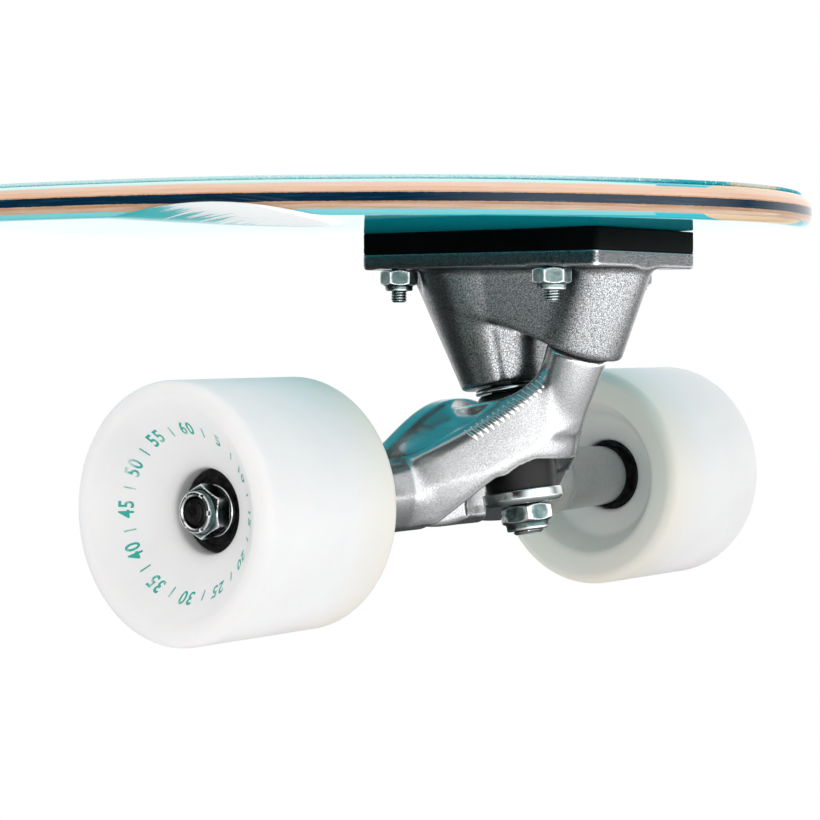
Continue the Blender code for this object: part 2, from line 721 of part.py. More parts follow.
def make_bolts(truck_name, truck):
    top = DECK_UNDERSIDE + DECK_THICKNESS
    nut_top = PLATE_HEIGHT + SPOT_FACE - SEAT_GAP
    nut_height = LOCK_NUT_HEX_HEIGHT + LOCK_NUT_COLLAR_HEIGHT
    foot = nut_top - nut_height - BOLT_BEYOND_NUT
    stem = BOLT_DIAMETER / 2
    profile = [
        (0, top),
        (BOLT_HEAD_DIAMETER / 2, top),
        (stem, top - BOLT_HEAD_HEIGHT),
        (stem, foot),
        (0, foot),
    ]
    bolt_mesh = turned("mounting_bolt", profile, SMALL_STEPS)
    nut_mesh = lock_nut_mesh(
        "lock_nut", LOCK_NUT_FLATS, LOCK_NUT_HEX_HEIGHT, LOCK_NUT_COLLAR_HEIGHT, stem + BORE_GAP
    )
    for place, along, across in bolt_places():
        piece(f"{truck_name}_bolt_{place}", bolt_mesh, ZINC_STEEL, truck, (along, across, 0))
        piece(
            f"{truck_name}_lock_nut_{place}",
            nut_mesh,
            ZINC_STEEL,
            truck,
            (along, across, nut_top),
            (math.pi, 0, math.radians(12)),
        )


# The pieces stacked on the kingpin, along Z of its own frame, which points up the pin


def make_kingpin_stack(truck_name, kingpin_axis):
    stem = KINGPIN_DIAMETER / 2
    seat = kingpin_head_seat() + SEAT_GAP
    foot = -KINGPIN_NUT_FOOT - KINGPIN_BEYOND_NUT
    profile = [(0, seat), (stem, seat), (stem, foot + stem * 0.35), (stem * 0.65, foot), (0, foot)]
    kingpin = piece(f"{truck_name}_kingpin", turned("kingpin", profile), ZINC_STEEL, kingpin_axis)
    head = prism("kingpin_head", hexagon(KINGPIN_HEAD_FLATS), seat - SEAT_GAP / 3, seat + KINGPIN_HEAD_HEIGHT)
    join(kingpin, f"{truck_name}_kingpin_head", head, kingpin_axis)
    nut_mesh = lock_nut_mesh(
        "kingpin_nut", KINGPIN_NUT_FLATS, KINGPIN_NUT_HEX_HEIGHT, KINGPIN_NUT_COLLAR_HEIGHT, stem + BORE_GAP
    )
    piece(
        f"{truck_name}_kingpin_nut",
        nut_mesh,
        ZINC_STEEL,
        kingpin_axis,
        (0, 0, -KINGPIN_NUT_TOP),
        (math.pi, 0, math.radians(20)),
    )
    bore = stem + BORE_GAP
    washer_foot = -SEAT_GAP - UPPER_WASHER_THICKNESS
    upper_washer = [
        (bore, -SEAT_GAP),
        (UPPER_WASHER_RADIUS - UPPER_WASHER_THICKNESS / 2, -SEAT_GAP),
        (UPPER_WASHER_RADIUS, washer_foot + UPPER_WASHER_THICKNESS / 2),
        (UPPER_WASHER_RADIUS, washer_foot),
        (bore, washer_foot),
    ]
    washer_mesh = turned("upper_washer", upper_washer, STEPS, True)
    piece(f"{truck_name}_upper_washer", washer_mesh, ZINC_STEEL, kingpin_axis)
    bushing_foot = -UPPER_BUSHING_TOP - UPPER_BUSHING_HEIGHT
    belly = UPPER_BUSHING_RADIUS + UPPER_BUSHING_BELLY
    upper_bushing = [
        (bore, -UPPER_BUSHING_TOP),
        (UPPER_BUSHING_RADIUS - BUSHING_EDGE, -UPPER_BUSHING_TOP),
        (belly, -UPPER_BUSHING_TOP - UPPER_BUSHING_HEIGHT * 0.35),
        (belly, bushing_foot + UPPER_BUSHING_HEIGHT * 0.25),
        (UPPER_BUSHING_RADIUS, bushing_foot),
        (bore, bushing_foot),
    ]
    piece(
        f"{truck_name}_upper_bushing",
        turned("upper_bushing", upper_bushing, STEPS, True),
        BLACK_URETHANE,
        kingpin_axis,
    )
    lower_foot = -LOWER_BUSHING_TOP - LOWER_BUSHING_HEIGHT
    lower_bushing = [
        (bore, -LOWER_BUSHING_TOP),
        (LOWER_BUSHING_TOP_RADIUS - BUSHING_EDGE, -LOWER_BUSHING_TOP),
        (LOWER_BUSHING_TOP_RADIUS, -LOWER_BUSHING_TOP - BUSHING_EDGE),
        (LOWER_BUSHING_FOOT_RADIUS, lower_foot + BUSHING_EDGE),
        (LOWER_BUSHING_FOOT_RADIUS - BUSHING_EDGE, lower_foot),
        (bore, lower_foot),
    ]
    piece(
        f"{truck_name}_lower_bushing",
        turned("lower_bushing", lower_bushing, STEPS, True),
        BLACK_URETHANE,
        kingpin_axis,
    )
    plate_top = -LOWER_WASHER_PLATE
    plate_foot = plate_top - LOWER_WASHER_THICKNESS
    cup_top = plate_top + LOWER_WASHER_CUP
    lower_washer = [
        (bore, plate_top),
        (LOWER_WASHER_RADIUS - WASHER_WALL, plate_top),
        (LOWER_WASHER_RADIUS - WASHER_WALL, cup_top),
        (LOWER_WASHER_RADIUS, cup_top),
        (LOWER_WASHER_RADIUS, plate_foot + WASHER_WALL),
        (LOWER_WASHER_RADIUS - WASHER_WALL, plate_foot),
        (bore, plate_foot),
    ]
    piece(
        f"{truck_name}_lower_washer",
        turned("lower_washer", lower_washer, STEPS, True),
        ZINC_STEEL,
        kingpin_axis,
    )


def make_pivot_cup(truck_name, pivot_axis):
    inner = PIVOT_RADIUS + SEAT_GAP
    crown = PIVOT_LENGTH + SEAT_GAP
    profile = [
        (0, CUP_HEAD),
        (CUP_RADIUS - CUP_TOP / 2, CUP_HEAD),
        (CUP_RADIUS, CUP_HEAD - CUP_TOP / 2),
        (CUP_RADIUS, CUP_FOOT + CUP_FLANGE),
        (CUP_RADIUS + CUP_FLANGE, CUP_FOOT + CUP_FLANGE),
        (CUP_RADIUS + CUP_FLANGE, CUP_FOOT),
        (inner, CUP_FOOT),
    ]
    profile += arc(0, crown - inner, inner, 0, 50, 3) + [(0, crown)]
    piece(f"{truck_name}_pivot_cup", turned("pivot_cup", profile), BLACK_URETHANE, pivot_axis)


# Hanger


def body_front(y):
    """How far forward the casting reaches at y: a rounded V from the nose back to the arms."""
    bow = BOW_NOSE - (BOW_NOSE - BOW_SHOULDER_FORWARD) * (abs(y) / BOW_SHOULDER) ** BOW_CURVE
    return max(bow, BEAM_RADIUS * 0.75)


def rim_height(y):
    """Height of the front rim at y: a curve through its top, its middle and the shoulder, then down the arm."""
    share = abs(y) / BOW_SHOULDER
    if share > 1:
        return RIM_SHOULDER - (RIM_SHOULDER - ARM_CREST) * (abs(y) - BOW_SHOULDER) / (BODY_SPAN - BOW_SHOULDER)
    straight = RIM_TOP + (RIM_SHOULDER - RIM_TOP) * share
    sag = 4 * (RIM_MIDDLE - (RIM_TOP + RIM_SHOULDER) / 2)
    return min(straight + sag * share * (1 - share), RIM_CAP)


def hanger_section(y):
    """The casting cut across at y: back of the beam, back wall, pan, front rim, front wall and foot."""
    share = abs(y) / BODY_SPAN
    crest = ARM_CREST + (BACK_WALL_HEIGHT - ARM_CREST) * math.cos(share * math.pi / 2) ** 1.4
    front = body_front(y)
    rim = rim_height(y)
    pan = min(crest, rim) - PAN_DEPTH * (1 - share)
    foot = FOOT_NOSE + (FOOT_ARM - FOOT_NOSE) * min(1.0, abs(y) / (BOW_SHOULDER * 0.6))
    tuck = BOW_TUCK * (1 - 0.75 * min(1.0, abs(y) / BOW_SHOULDER))
    half = BACK_WALL_TOP / 2 * (1 - 0.4 * share)
    inner_rim = max(front - RIM_WIDTH, half + 1.6 * MM)
    dip = inner_rim - half
    return [
        (-BEAM_RADIUS * 0.75, FOOT_ARM * 0.8),
        (-BEAM_RADIUS * 0.85, 0.0),
        (-half * 1.3, crest - 2.4 * MM),
        (-half * 0.7, crest - 0.3 * MM),
        (half * 0.6, crest),
        (half, crest - 0.8 * MM),
        (half + dip * 0.3, pan),
        (half + dip * 0.75, pan),
        (inner_rim, rim - 0.6 * MM),
        (inner_rim + RIM_WIDTH * 0.2, rim),
        (front - RIM_WIDTH * 0.2, rim - 0.6 * MM),
        (front, rim - RIM_WIDTH * 0.5),
        (front, foot + (rim - foot) * 0.5),
        (front - tuck * 0.35, foot + (rim - foot) * 0.3),
        (front - tuck, foot),
        (min(front - tuck, BEAM_RADIUS) * 0.5, foot + (FOOT_ARM - foot) * 0.9),
    ]


def hanger_body_mesh():
    """The body from its sections, closer together towards the arm, and its image on the other side."""
    shares = np.linspace(0, 1, BODY_STATIONS)
    stations = BODY_SPAN * np.sin(shares * math.pi / 2) ** 1.15
    sections = [[(x, float(y), z) for x, z in hanger_section(float(y))] for y in stations]
    return mirrored("hanger_body", half_loft("hanger_half", sections))


def window_mesh():
    """The arch in each side of the bow, a low bay and a high one, cut square to the bow's face."""
    foot = -BEAM_RADIUS * 2.5
    outline = [
        (WINDOW_START - BEAM_RADIUS, foot),
        (WINDOW_START - BEAM_RADIUS * 0.4, -BEAM_RADIUS),
        (WINDOW_LOW_START, WINDOW_STEP - WINDOW_LOW_CORNER * 0.7),
        (WINDOW_LOW_START + WINDOW_LOW_CORNER, WINDOW_STEP),
        (WINDOW_HIGH_START, WINDOW_STEP),
        (WINDOW_HIGH_START + WINDOW_HIGH_CORNER * 0.4, WINDOW_HEIGHT - WINDOW_HIGH_CORNER * 0.6),
        (WINDOW_HIGH_START + WINDOW_HIGH_CORNER * 1.2, WINDOW_HEIGHT),
        (WINDOW_END, WINDOW_HEIGHT),
        (WINDOW_END, foot),
    ]
    facing = math.atan2(BOW_SHOULDER, BOW_NOSE - BOW_SHOULDER_FORWARD)
    window = prism("window", outline, -WINDOW_REACH, -WINDOW_DEPTH)
    window.transform(Euler((math.pi / 2, 0, -facing)).to_matrix().to_4x4())
    return mirrored("windows", window)


def make_hanger(truck_name, truck, kingpin_axis, pivot_axis, steer_axis):
    """The casting that carries the axle: beam and arms, body, neck and pivot pin."""
    half = HANGER_WIDTH / 2
    blend = half - BEAM_SPAN
    profile = [
        (0, half + ARM_NOSE_LENGTH),
        (ARM_NOSE_RADIUS, half + ARM_NOSE_LENGTH),
        (ARM_NOSE_RADIUS, half),
        (ARM_END_RADIUS - ARM_END_EDGE, half),
        (ARM_END_RADIUS, half - ARM_END_EDGE),
        (ARM_END_RADIUS + (BEAM_RADIUS - ARM_END_RADIUS) * 0.4, BEAM_SPAN + blend * 0.5),
        (BEAM_RADIUS, BEAM_SPAN),
        (BEAM_RADIUS, -BEAM_SPAN),
        (ARM_END_RADIUS + (BEAM_RADIUS - ARM_END_RADIUS) * 0.4, -BEAM_SPAN - blend * 0.5),
        (ARM_END_RADIUS, -half + ARM_END_EDGE),
        (ARM_END_RADIUS - ARM_END_EDGE, -half),
        (ARM_NOSE_RADIUS, -half),
        (ARM_NOSE_RADIUS, -half - ARM_NOSE_LENGTH),
        (0, -half - ARM_NOSE_LENGTH),
    ]
    beam = turned("hanger_beam", profile)
    beam.transform(Matrix.Translation(-RING_CENTRE) @ Matrix.Rotation(math.pi / 2, 4, "X"))
    hanger = piece(f"{truck_name}_hanger", beam, HANGER_ALUMINIUM, steer_axis)
    join(hanger, f"{truck_name}_hanger_body", hanger_body_mesh(), truck)
    pin_profile = [(0, PIVOT_LENGTH)] + arc(0, PIVOT_LENGTH - PIVOT_RADIUS, PIVOT_RADIUS, 50, 0, 3)
    pin_profile += [(PIVOT_RADIUS, 0), (NECK_RADIUS, 0), (NECK_ROOT_RADIUS, -NECK_LENGTH), (0, -NECK_LENGTH)]
    join(hanger, f"{truck_name}_pivot_pin", turned("pivot_pin", pin_profile), pivot_axis)
    seats = [
        (0, PAN_TOP),
        (PAN_RADIUS, PAN_TOP),
        (PAN_RADIUS * 0.9, RECESS_DEPTH * 1.3 - RING_TOP),
        (RECESS_RADIUS, RECESS_DEPTH - RING_TOP),
        (RECESS_RADIUS, -RING_TOP),
        (RING_BORE_RADIUS, -RING_TOP),
        (RING_BORE_RADIUS, -RING_FOOT),
        (LOWER_CAVITY_RADIUS, -RING_FOOT),
        (LOWER_CAVITY_FOOT_RADIUS, -LOWER_WASHER_PLATE),
        (LOWER_CAVITY_FOOT_RADIUS, -KINGPIN_NUT_FOOT * 1.5),
        (0, -KINGPIN_NUT_FOOT * 1.5),
    ]
    cut(hanger, f"{truck_name}_bushing_seats", turned("bushing_seats", seats, FINE_STEPS), kingpin_axis)
    cut(hanger, f"{truck_name}_windows", window_mesh(), truck)
    bore = cylinder("axle_bore", AXLE_DIAMETER / 2 + BORE_GAP, -HANGER_WIDTH, HANGER_WIDTH, STEPS)
    cut(hanger, f"{truck_name}_axle_bore", bore, truck, (0, 0, 0), (math.pi / 2, 0, 0))
    return hanger


# Axle, bearings and wheels


def make_axle(truck_name, steer_axis):
    """The steel axle with the two inner speed washers as collars on it."""
    stem = AXLE_DIAMETER / 2
    end = AXLE_LENGTH / 2
    collar = INNER_WASHER + SPEED_WASHER_THICKNESS
    top = [
        (0, end),
        (stem * 0.75, end),
        (stem, end - stem * 0.25),
        (stem, collar),
        (SPEED_WASHER_RADIUS, collar),
        (SPEED_WASHER_RADIUS, INNER_WASHER),
        (stem, INNER_WASHER),
    ]
    profile = top + [(radius, -height) for radius, height in top[::-1]]
    axle = turned("axle", profile, SMALL_STEPS)
    return piece(
        f"{truck_name}_axle", axle, ZINC_STEEL, steer_axis, -RING_CENTRE, (math.pi / 2, 0, 0)
    )


def bearing_mesh():
    """One closed bearing: on its outward face the outer race stands proud of the shield."""
    half = BEARING_WIDTH / 2
    bore = AXLE_DIAMETER / 2 + BORE_GAP
    outer = BEARING_RADIUS - BEARING_RACE
    shield = half - BEARING_SHIELD_DEPTH
    profile = [
        (bore, shield),
        (outer, shield),
        (outer, half),
        (BEARING_RADIUS, half),
        (BEARING_RADIUS, -half),
        (bore, -half),
    ]
    return turned("bearing", profile, SMALL_STEPS, True)


def wheel_mesh():
    """Urethane tyre and hub in one: round lips, a coned outer face, a bowl inside, a seat for each bearing."""
    tread = WHEEL_DIAMETER / 2
    half = WHEEL_WIDTH / 2
    seat = BEARING_RADIUS + BORE_GAP
    shoulder = seat - WHEEL_SHOULDER
    outer_shoulder = SPACER_WIDTH / 2 - WHEEL_HUB_OFFSET
    inner_shoulder = -SPACER_WIDTH / 2 - WHEEL_HUB_OFFSET
    inner_mouth = -BEARING_PAIR / 2 - WHEEL_HUB_OFFSET - BORE_GAP
    mouth = half - WHEEL_MOUTH_DEPTH
    profile = [
        (shoulder, outer_shoulder),
        (seat, outer_shoulder),
        (seat, mouth - WHEEL_MOUTH_EDGE),
        (WHEEL_MOUTH_RADIUS, mouth),
        (WHEEL_DISH_RADIUS, half - WHEEL_DISH_DEPTH),
    ]
    lip = arc(half - WHEEL_LIP_RADIUS, tread - WHEEL_LIP_RADIUS, WHEEL_LIP_RADIUS, 0, 90, 3)
    profile += [(across, along) for along, across in lip]
    profile += [(across, -along) for along, across in lip[::-1]]
    profile += [
        (WHEEL_RECESS_RADIUS, WHEEL_RECESS_DEPTH - half),
        (WHEEL_BOWL_RADIUS, WHEEL_BOWL_DEPTH - half),
        (seat, inner_mouth),
        (seat, inner_shoulder),
        (shoulder, inner_shoulder),
    ]
    return turned("wheel", profile, WHEEL_STEPS, True)


def make_wheels(truck_name, truck, steer_axis, turned_round):
    bearing = bearing_mesh()
    wheel = wheel_mesh()
    spacer_bore = AXLE_DIAMETER / 2 + BORE_GAP
    spacer_half = SPACER_WIDTH / 2
    spacer_profile = [
        (spacer_bore, spacer_half),
        (SPACER_RADIUS, spacer_half),
        (SPACER_RADIUS, -spacer_half),
        (spacer_bore, -spacer_half),
    ]
    spacer = turned("bearing_spacer", spacer_profile, SMALL_STEPS, True)
    nut = lock_nut_mesh(
        "axle_nut",
        AXLE_NUT_FLATS,
        AXLE_NUT_HEX_HEIGHT,
        AXLE_NUT_COLLAR_HEIGHT,
        AXLE_DIAMETER / 2 + BORE_GAP,
        AXLE_NUT_WASHER_RADIUS,
        SPEED_WASHER_THICKNESS,
    )
    bearing_place = (SPACER_WIDTH + BEARING_WIDTH) / 2 + SEAT_GAP
    for side in (-1, 1):
        hand = "right" if (side < 0) != turned_round else "left"
        name = f"{truck_name}_{hand}"
        hub = empty(f"{name}_wheel_axis", truck, (0, side * WHEEL_CENTRE, 0))
        outwards = (-side * math.pi / 2, 0, 0)
        piece(f"{name}_wheel", wheel, WHITE_URETHANE, hub, (0, 0, 0), outwards)
        for place, along in (("outer", bearing_place), ("inner", -bearing_place)):
            seat = (0, side * (along - WHEEL_HUB_OFFSET), 0)
            piece(f"{name}_{place}_bearing", bearing, BEARING_STEEL, hub, seat, outwards)
        centre = Vector((0, side * BEARING_CENTRE, 0)) - RING_CENTRE
        piece(f"{name}_bearing_spacer", spacer, ZINC_STEEL, steer_axis, centre, outwards)
        nut_centre = Vector((0, side * AXLE_NUT_FOOT, 0)) - RING_CENTRE
        axle_nut = piece(f"{name}_axle_nut", nut, ZINC_STEEL, steer_axis, nut_centre, outwards)
        axle_nut.rotation_euler = Euler((-side * math.pi / 2, math.radians(11), 0))


def make_truck(truck_name, truck, turned_round):
    kingpin_axis = empty(f"{truck_name}_kingpin_axis", truck, KINGPIN_SEAT, (0, -KINGPIN_LEAN, 0))
    pivot_axis = empty(f"{truck_name}_pivot_axis", truck, NECK_TOP, (0, PIVOT_LEAN, 0))
    steer_axis = empty(f"{truck_name}_steer_axis", truck, RING_CENTRE)
    make_riser(truck_name, truck)
    make_baseplate(truck_name, truck, kingpin_axis, pivot_axis)
    make_bolts(truck_name, truck)
    make_kingpin_stack(truck_name, kingpin_axis)
    make_pivot_cup(truck_name, pivot_axis)
    make_hanger(truck_name, truck, kingpin_axis, pivot_axis, steer_axis)
    make_axle(truck_name, steer_axis)
    make_wheels(truck_name, truck, steer_axis, turned_round)


front_truck = empty("front_truck", None, (FRONT_AXLE, 0, AXLE_HEIGHT))
rear_truck = empty("rear_truck", None, (REAR_AXLE, 0, AXLE_HEIGHT), (0, 0, math.pi))
make_deck([("front", front_truck), ("rear", rear_truck)])
make_truck("front", front_truck, False)
make_truck("rear", rear_truck, True)

steer = (PIVOT_CENTRE - RING_CENTRE).normalized()
print("front ring centre, m:", [round(v, 6) for v in Vector((FRONT_AXLE, 0, AXLE_HEIGHT)) + RING_CENTRE])
print("rear axle x, m:", round(REAR_AXLE, 6), "wheel centre y, m:", round(WHEEL_CENTRE, 6))
print("steer axis from ring to pivot:", [round(v, 6) for v in steer])
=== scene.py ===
"""The dressed surfskate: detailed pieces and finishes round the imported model, in its frame, in metres."""

import math

import bmesh
import bpy
import numpy as np
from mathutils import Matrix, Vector


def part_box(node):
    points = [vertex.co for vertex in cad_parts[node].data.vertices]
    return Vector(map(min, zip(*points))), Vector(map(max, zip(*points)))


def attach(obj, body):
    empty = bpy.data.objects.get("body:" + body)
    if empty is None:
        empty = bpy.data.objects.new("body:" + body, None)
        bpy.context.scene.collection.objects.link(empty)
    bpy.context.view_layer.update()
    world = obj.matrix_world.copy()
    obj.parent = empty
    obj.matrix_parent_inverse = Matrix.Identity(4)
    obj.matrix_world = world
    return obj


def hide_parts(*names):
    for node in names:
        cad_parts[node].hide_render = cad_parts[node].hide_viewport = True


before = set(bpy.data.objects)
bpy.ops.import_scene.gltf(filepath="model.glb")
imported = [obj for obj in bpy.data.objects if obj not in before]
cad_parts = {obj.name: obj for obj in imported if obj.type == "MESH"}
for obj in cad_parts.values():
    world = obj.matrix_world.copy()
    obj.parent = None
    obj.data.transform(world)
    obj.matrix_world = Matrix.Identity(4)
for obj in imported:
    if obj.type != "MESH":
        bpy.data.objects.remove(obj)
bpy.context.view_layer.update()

# Camera
# A long lens close to the floor, ahead of the front truck and to its right, looking back past it and all but
# level.
LENS_LENGTH, SENSOR_WIDTH = 100.84, 36.0
CAMERA_PLACE, CAMERA_AIM = (0.7073, -0.5426, 0.08284), (-0.6198, 0.7839, -0.0366)
camera = bpy.data.objects.new("camera", bpy.data.cameras.new("camera"))
bpy.context.scene.collection.objects.link(camera)
camera.data.lens = LENS_LENGTH
camera.data.sensor_width = SENSOR_WIDTH
camera.location = CAMERA_PLACE
camera.rotation_euler = Vector(CAMERA_AIM).to_track_quat("-Z", "Y").to_euler()
bpy.context.scene.camera = camera
bpy.context.scene.view_settings.view_transform = "Standard"


# Deck
# Seven plies of maple glued and pressed, shown on the rail as two pale layers with a dyed navy one between,
# both faces painted and the whole lacquered. A shallow well is milled over each wheel.
MM = 0.001
TRUCKS = {}
for end, turned_round in (("front", 1.0), ("rear", -1.0)):
    low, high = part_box(f"{end}_axle")
    TRUCKS[end] = (np.array((low + high) / 2), turned_round)
DECK_LENGTH, DECK_WIDTH, DECK_THICKNESS, RAIL_RADIUS = 800.0, 240.0, 9.2, 3.2
NOSE_LENGTH, NOSE_FULLNESS = 300.0, 4.2
TAIL_LENGTH, TAIL_FULLNESS, TAIL_ROUNDING = 330.0, 3.0, 0.42
CONCAVE, DISH_START, DISH_TURN = 2.15, 22.0, 40.0
NOSE_LIFT, NOSE_LIFT_LENGTH = 1.1, 80.0
KICK_RADIUS, KICK_SLOPE, KICK_SETBACK = 150.0, 0.27, 22.0
DECK_UNDERSIDE, PLATE_FRONT = 75.1, 67.4
WELL_LENGTH, WELL_DEPTH, WELL_REACH, WELL_FORWARD, WELL_EASE = 62.0, 4.0, 46.0, 2.5, 4
AXLE_HEIGHT = TRUCKS["front"][0][2] / MM
FRONT_AXLE = TRUCKS["front"][0][0] / MM
REAR_AXLE = TRUCKS["rear"][0][0] / MM
OUTLINE_POINTS, OUTLINE_GATHER = 720, 0.9
FIELD_TEAL, BORDER_CYAN, WELL_TEAL = (0.003, 0.52, 0.62), (0.13, 0.72, 0.78), (0.05, 0.58, 0.61)
CHEVRON_TEAL, CHEVRON_CYAN, CHEVRON_WHITE = (0.06, 0.44, 0.50), (0.60, 0.84, 0.84), (0.90, 0.92, 0.91)
STRIP_TEAL, STRIP_PALE = (0.20, 0.66, 0.70), (0.62, 0.88, 0.88)
NAVY, NAVY_GLINT, PALE_FIBRE = (0.001, 0.022, 0.052), (0.05, 0.18, 0.26), (0.95, 0.80, 0.70)
BRUSHED_WHITE, BRUSHED_FROM, BRUSHED_TO = (0.97, 0.97, 0.97), 0.264, 0.296
BORDER_START, FIELD_START, NOSE_PRINT, RAIL_PAINT_END = 0.086, 0.2, 0.3960, 0.3905
NAVY_FOOT, NAVY_TOP = 0.36, 0.60
CHEVRONS = [
    (0.0, (0.004, 0.20, 0.26)),
    (0.16, CHEVRON_TEAL),
    (0.27, CHEVRON_CYAN),
    (0.38, CHEVRON_WHITE),
    (0.46, CHEVRON_TEAL),
    (0.52, CHEVRON_CYAN),
    (0.56, CHEVRON_WHITE),
]
NOSE_BLOCK = [(0.0, (0.56, 0.27, 0.07)), (0.93, (0.62, 0.32, 0.10)), (0.97, (0.80, 0.58, 0.36))]
PLIES = [
    (0.0, (0.40, 0.22, 0.12)),
    (0.12, (0.52, 0.31, 0.19)),
    (0.27, (0.42, 0.20, 0.08)),
    (NAVY_FOOT, NAVY),
    (NAVY_TOP, (0.60, 0.27, 0.10)),
    (0.635, (0.80, 0.50, 0.34)),
    (0.76, (0.86, 0.58, 0.43)),
]


def half_width(x):
    """Half the deck's width at x: a power curve in from the nose times another in from the tail."""
    from_nose = np.clip((DECK_LENGTH / 2 - x) / NOSE_LENGTH, 0, 1)
    from_tail = np.clip((x + DECK_LENGTH / 2) / TAIL_LENGTH, 0, 1)
    nose = np.sqrt(1 - (1 - from_nose) ** NOSE_FULLNESS)
    return DECK_WIDTH / 2 * nose * (1 - (1 - from_tail) ** TAIL_FULLNESS) ** TAIL_ROUNDING


def underside(x, y):
    """Height of the deck's underside: level in the middle, its sides drawn up along a hyperbola, the nose
    lifted as a square and the tail kicked along an arc and a line."""
    across = np.clip((np.abs(y) - DISH_START) / DISH_TURN, 0, None)
    full = (DECK_WIDTH / 2 - DISH_START) / DISH_TURN
    dish = CONCAVE * (np.hypot(1, across) - 1) / (math.hypot(1, full) - 1)
    nose = np.clip((x - DECK_LENGTH / 2 + NOSE_LIFT_LENGTH) / NOSE_LIFT_LENGTH, 0, None)
    run = np.clip(REAR_AXLE - PLATE_FRONT - KICK_SETBACK - x, 0, None)
    curved = np.minimum(run, KICK_RADIUS * KICK_SLOPE)
    kick = curved**2 / (2 * KICK_RADIUS) + KICK_SLOPE * (run - curved)
    return AXLE_HEIGHT + DECK_UNDERSIDE + dish + NOSE_LIFT * nose**2 + kick


def upright(x, y):
    """How much taller the board is than thick where it slopes: the secant of its slope along X."""
    return np.hypot(1, underside(x + 0.5, y) - underside(x - 0.5, y))


def well_depth(x, y):
    """How deep the wells are milled at a point: a parabola along the board, fading in a straight line from
    the rail inwards, its foot eased as a logarithm of a sum of powers."""
    depth = np.zeros(np.broadcast(x, y).shape)
    for axle, setback in ((FRONT_AXLE, WELL_FORWARD), (REAR_AXLE, -WELL_FORWARD)):
        along = (x - axle - setback) / (WELL_LENGTH / 2)
        inwards = (half_width(np.full_like(x, axle)) - np.abs(y)) / WELL_REACH
        raw = WELL_DEPTH * (1 - along**2 - inwards)
        depth = depth + np.where(raw > -1, np.logaddexp(0, raw * WELL_EASE) / WELL_EASE, 0)
    return depth


def deck_outline(inset):
    """Points round the deck from the nose, moved inwards along the outline's normal."""
    turn = np.linspace(0, 2 * math.pi, OUTLINE_POINTS, endpoint=False)
    x = DECK_LENGTH / 2 * np.sign(np.cos(turn)) * np.abs(np.cos(turn)) ** OUTLINE_GATHER
    y = half_width(x) * np.where(np.sin(turn) < 0, -1, 1)
    along_x, along_y = np.roll(x, -1) - np.roll(x, 1), np.roll(y, -1) - np.roll(y, 1)
    length = np.hypot(along_x, along_y)
    return x - inset * along_y / length, y + inset * along_x / length


def board_rings(base, thickness, radius, inset, shares, rail_steps, wells):
    """Rings of a board that follows the underside: from its middle line out over the top, round the rail as
    two quarter circles with a straight between, and back underneath."""
    rings = []

    def ring(share, edge_inset, height):
        """One ring: the outline, drawn in to its share of the way from the middle line and set at its height
        over the underside."""
        x, y = deck_outline(inset + edge_inset)
        spine = np.clip(x, -DECK_LENGTH / 2 + DECK_WIDTH / 3, DECK_LENGTH / 2 - DECK_WIDTH / 3)
        x, y = spine + (x - spine) * share, y * share
        lift = well_depth(x, y) * wells * np.clip(1 - height / thickness, 0, 1)
        rings.append(np.stack([x, y, underside(x, y) + (base + height) * upright(x, y) + lift], 1))

    for share in shares:
        ring(share, radius, thickness)
    upper = np.radians(np.linspace(90, 0, rail_steps + 1))
    for centre, turns in ((thickness - radius, upper), (radius, -upper[::-1])):
        for turn in turns:
            ring(1.0, radius * (1 - math.cos(turn)), centre + radius * math.sin(turn))
    for share in shares[::-1]:
        ring(share, radius, 0.0)
    return np.array(rings)


def wrapped(rings, loop=False, capped=True):
    """Faces between rings of points (m, n, 3), joined all round. The last ring meets the first where the skin
    is a loop, and otherwise each end is closed by a fan to its middle point, unless it closes by itself."""
    rings = np.asarray(rings, float)
    m, n = rings.shape[:2]
    i = np.arange(m if loop else m - 1)[:, None]
    j = np.arange(n)[None, :]
    after = (i + 1) % m
    quads = np.stack([i * n + j, i * n + (j + 1) % n, after * n + (j + 1) % n, after * n + j], -1)
    points = rings.reshape(-1, 3)
    faces = quads.reshape(-1, 4).tolist()
    if capped and not loop:
        ends = np.stack([rings[0].mean(0), rings[-1].mean(0)])
        j = np.arange(n)
        last = (m - 1) * n
        faces += np.stack([np.full(n, m * n), (j + 1) % n, j], -1).tolist()
        faces += np.stack([np.full(n, m * n + 1), last + j, last + (j + 1) % n], -1).tolist()
        points = np.concatenate([points, ends])
    return points, faces


def outward(mesh):
    """Merges points that coincide and turns the faces outwards."""
    shape = bmesh.new()
    shape.from_mesh(mesh)
    bmesh.ops.remove_doubles(shape, verts=shape.verts, dist=0.002 * MM)
    bmesh.ops.dissolve_degenerate(shape, edges=shape.edges, dist=0.002 * MM)
    bmesh.ops.recalc_face_normals(shape, faces=shape.faces)
    shape.to_mesh(mesh)
    shape.free()


def read_points(mesh, key="co"):
    """Each point's place, or its normal, as rows of an array."""
    values = np.zeros(len(mesh.vertices) * 3)
    mesh.vertices.foreach_get(key, values)
    return values.reshape(-1, 3)


def store(mesh, key, values):
    """Keeps one value a point under a name that a material can read."""
    mesh.attributes.new(key, "FLOAT", "POINT").data.foreach_set("value", values.astype(np.float32))


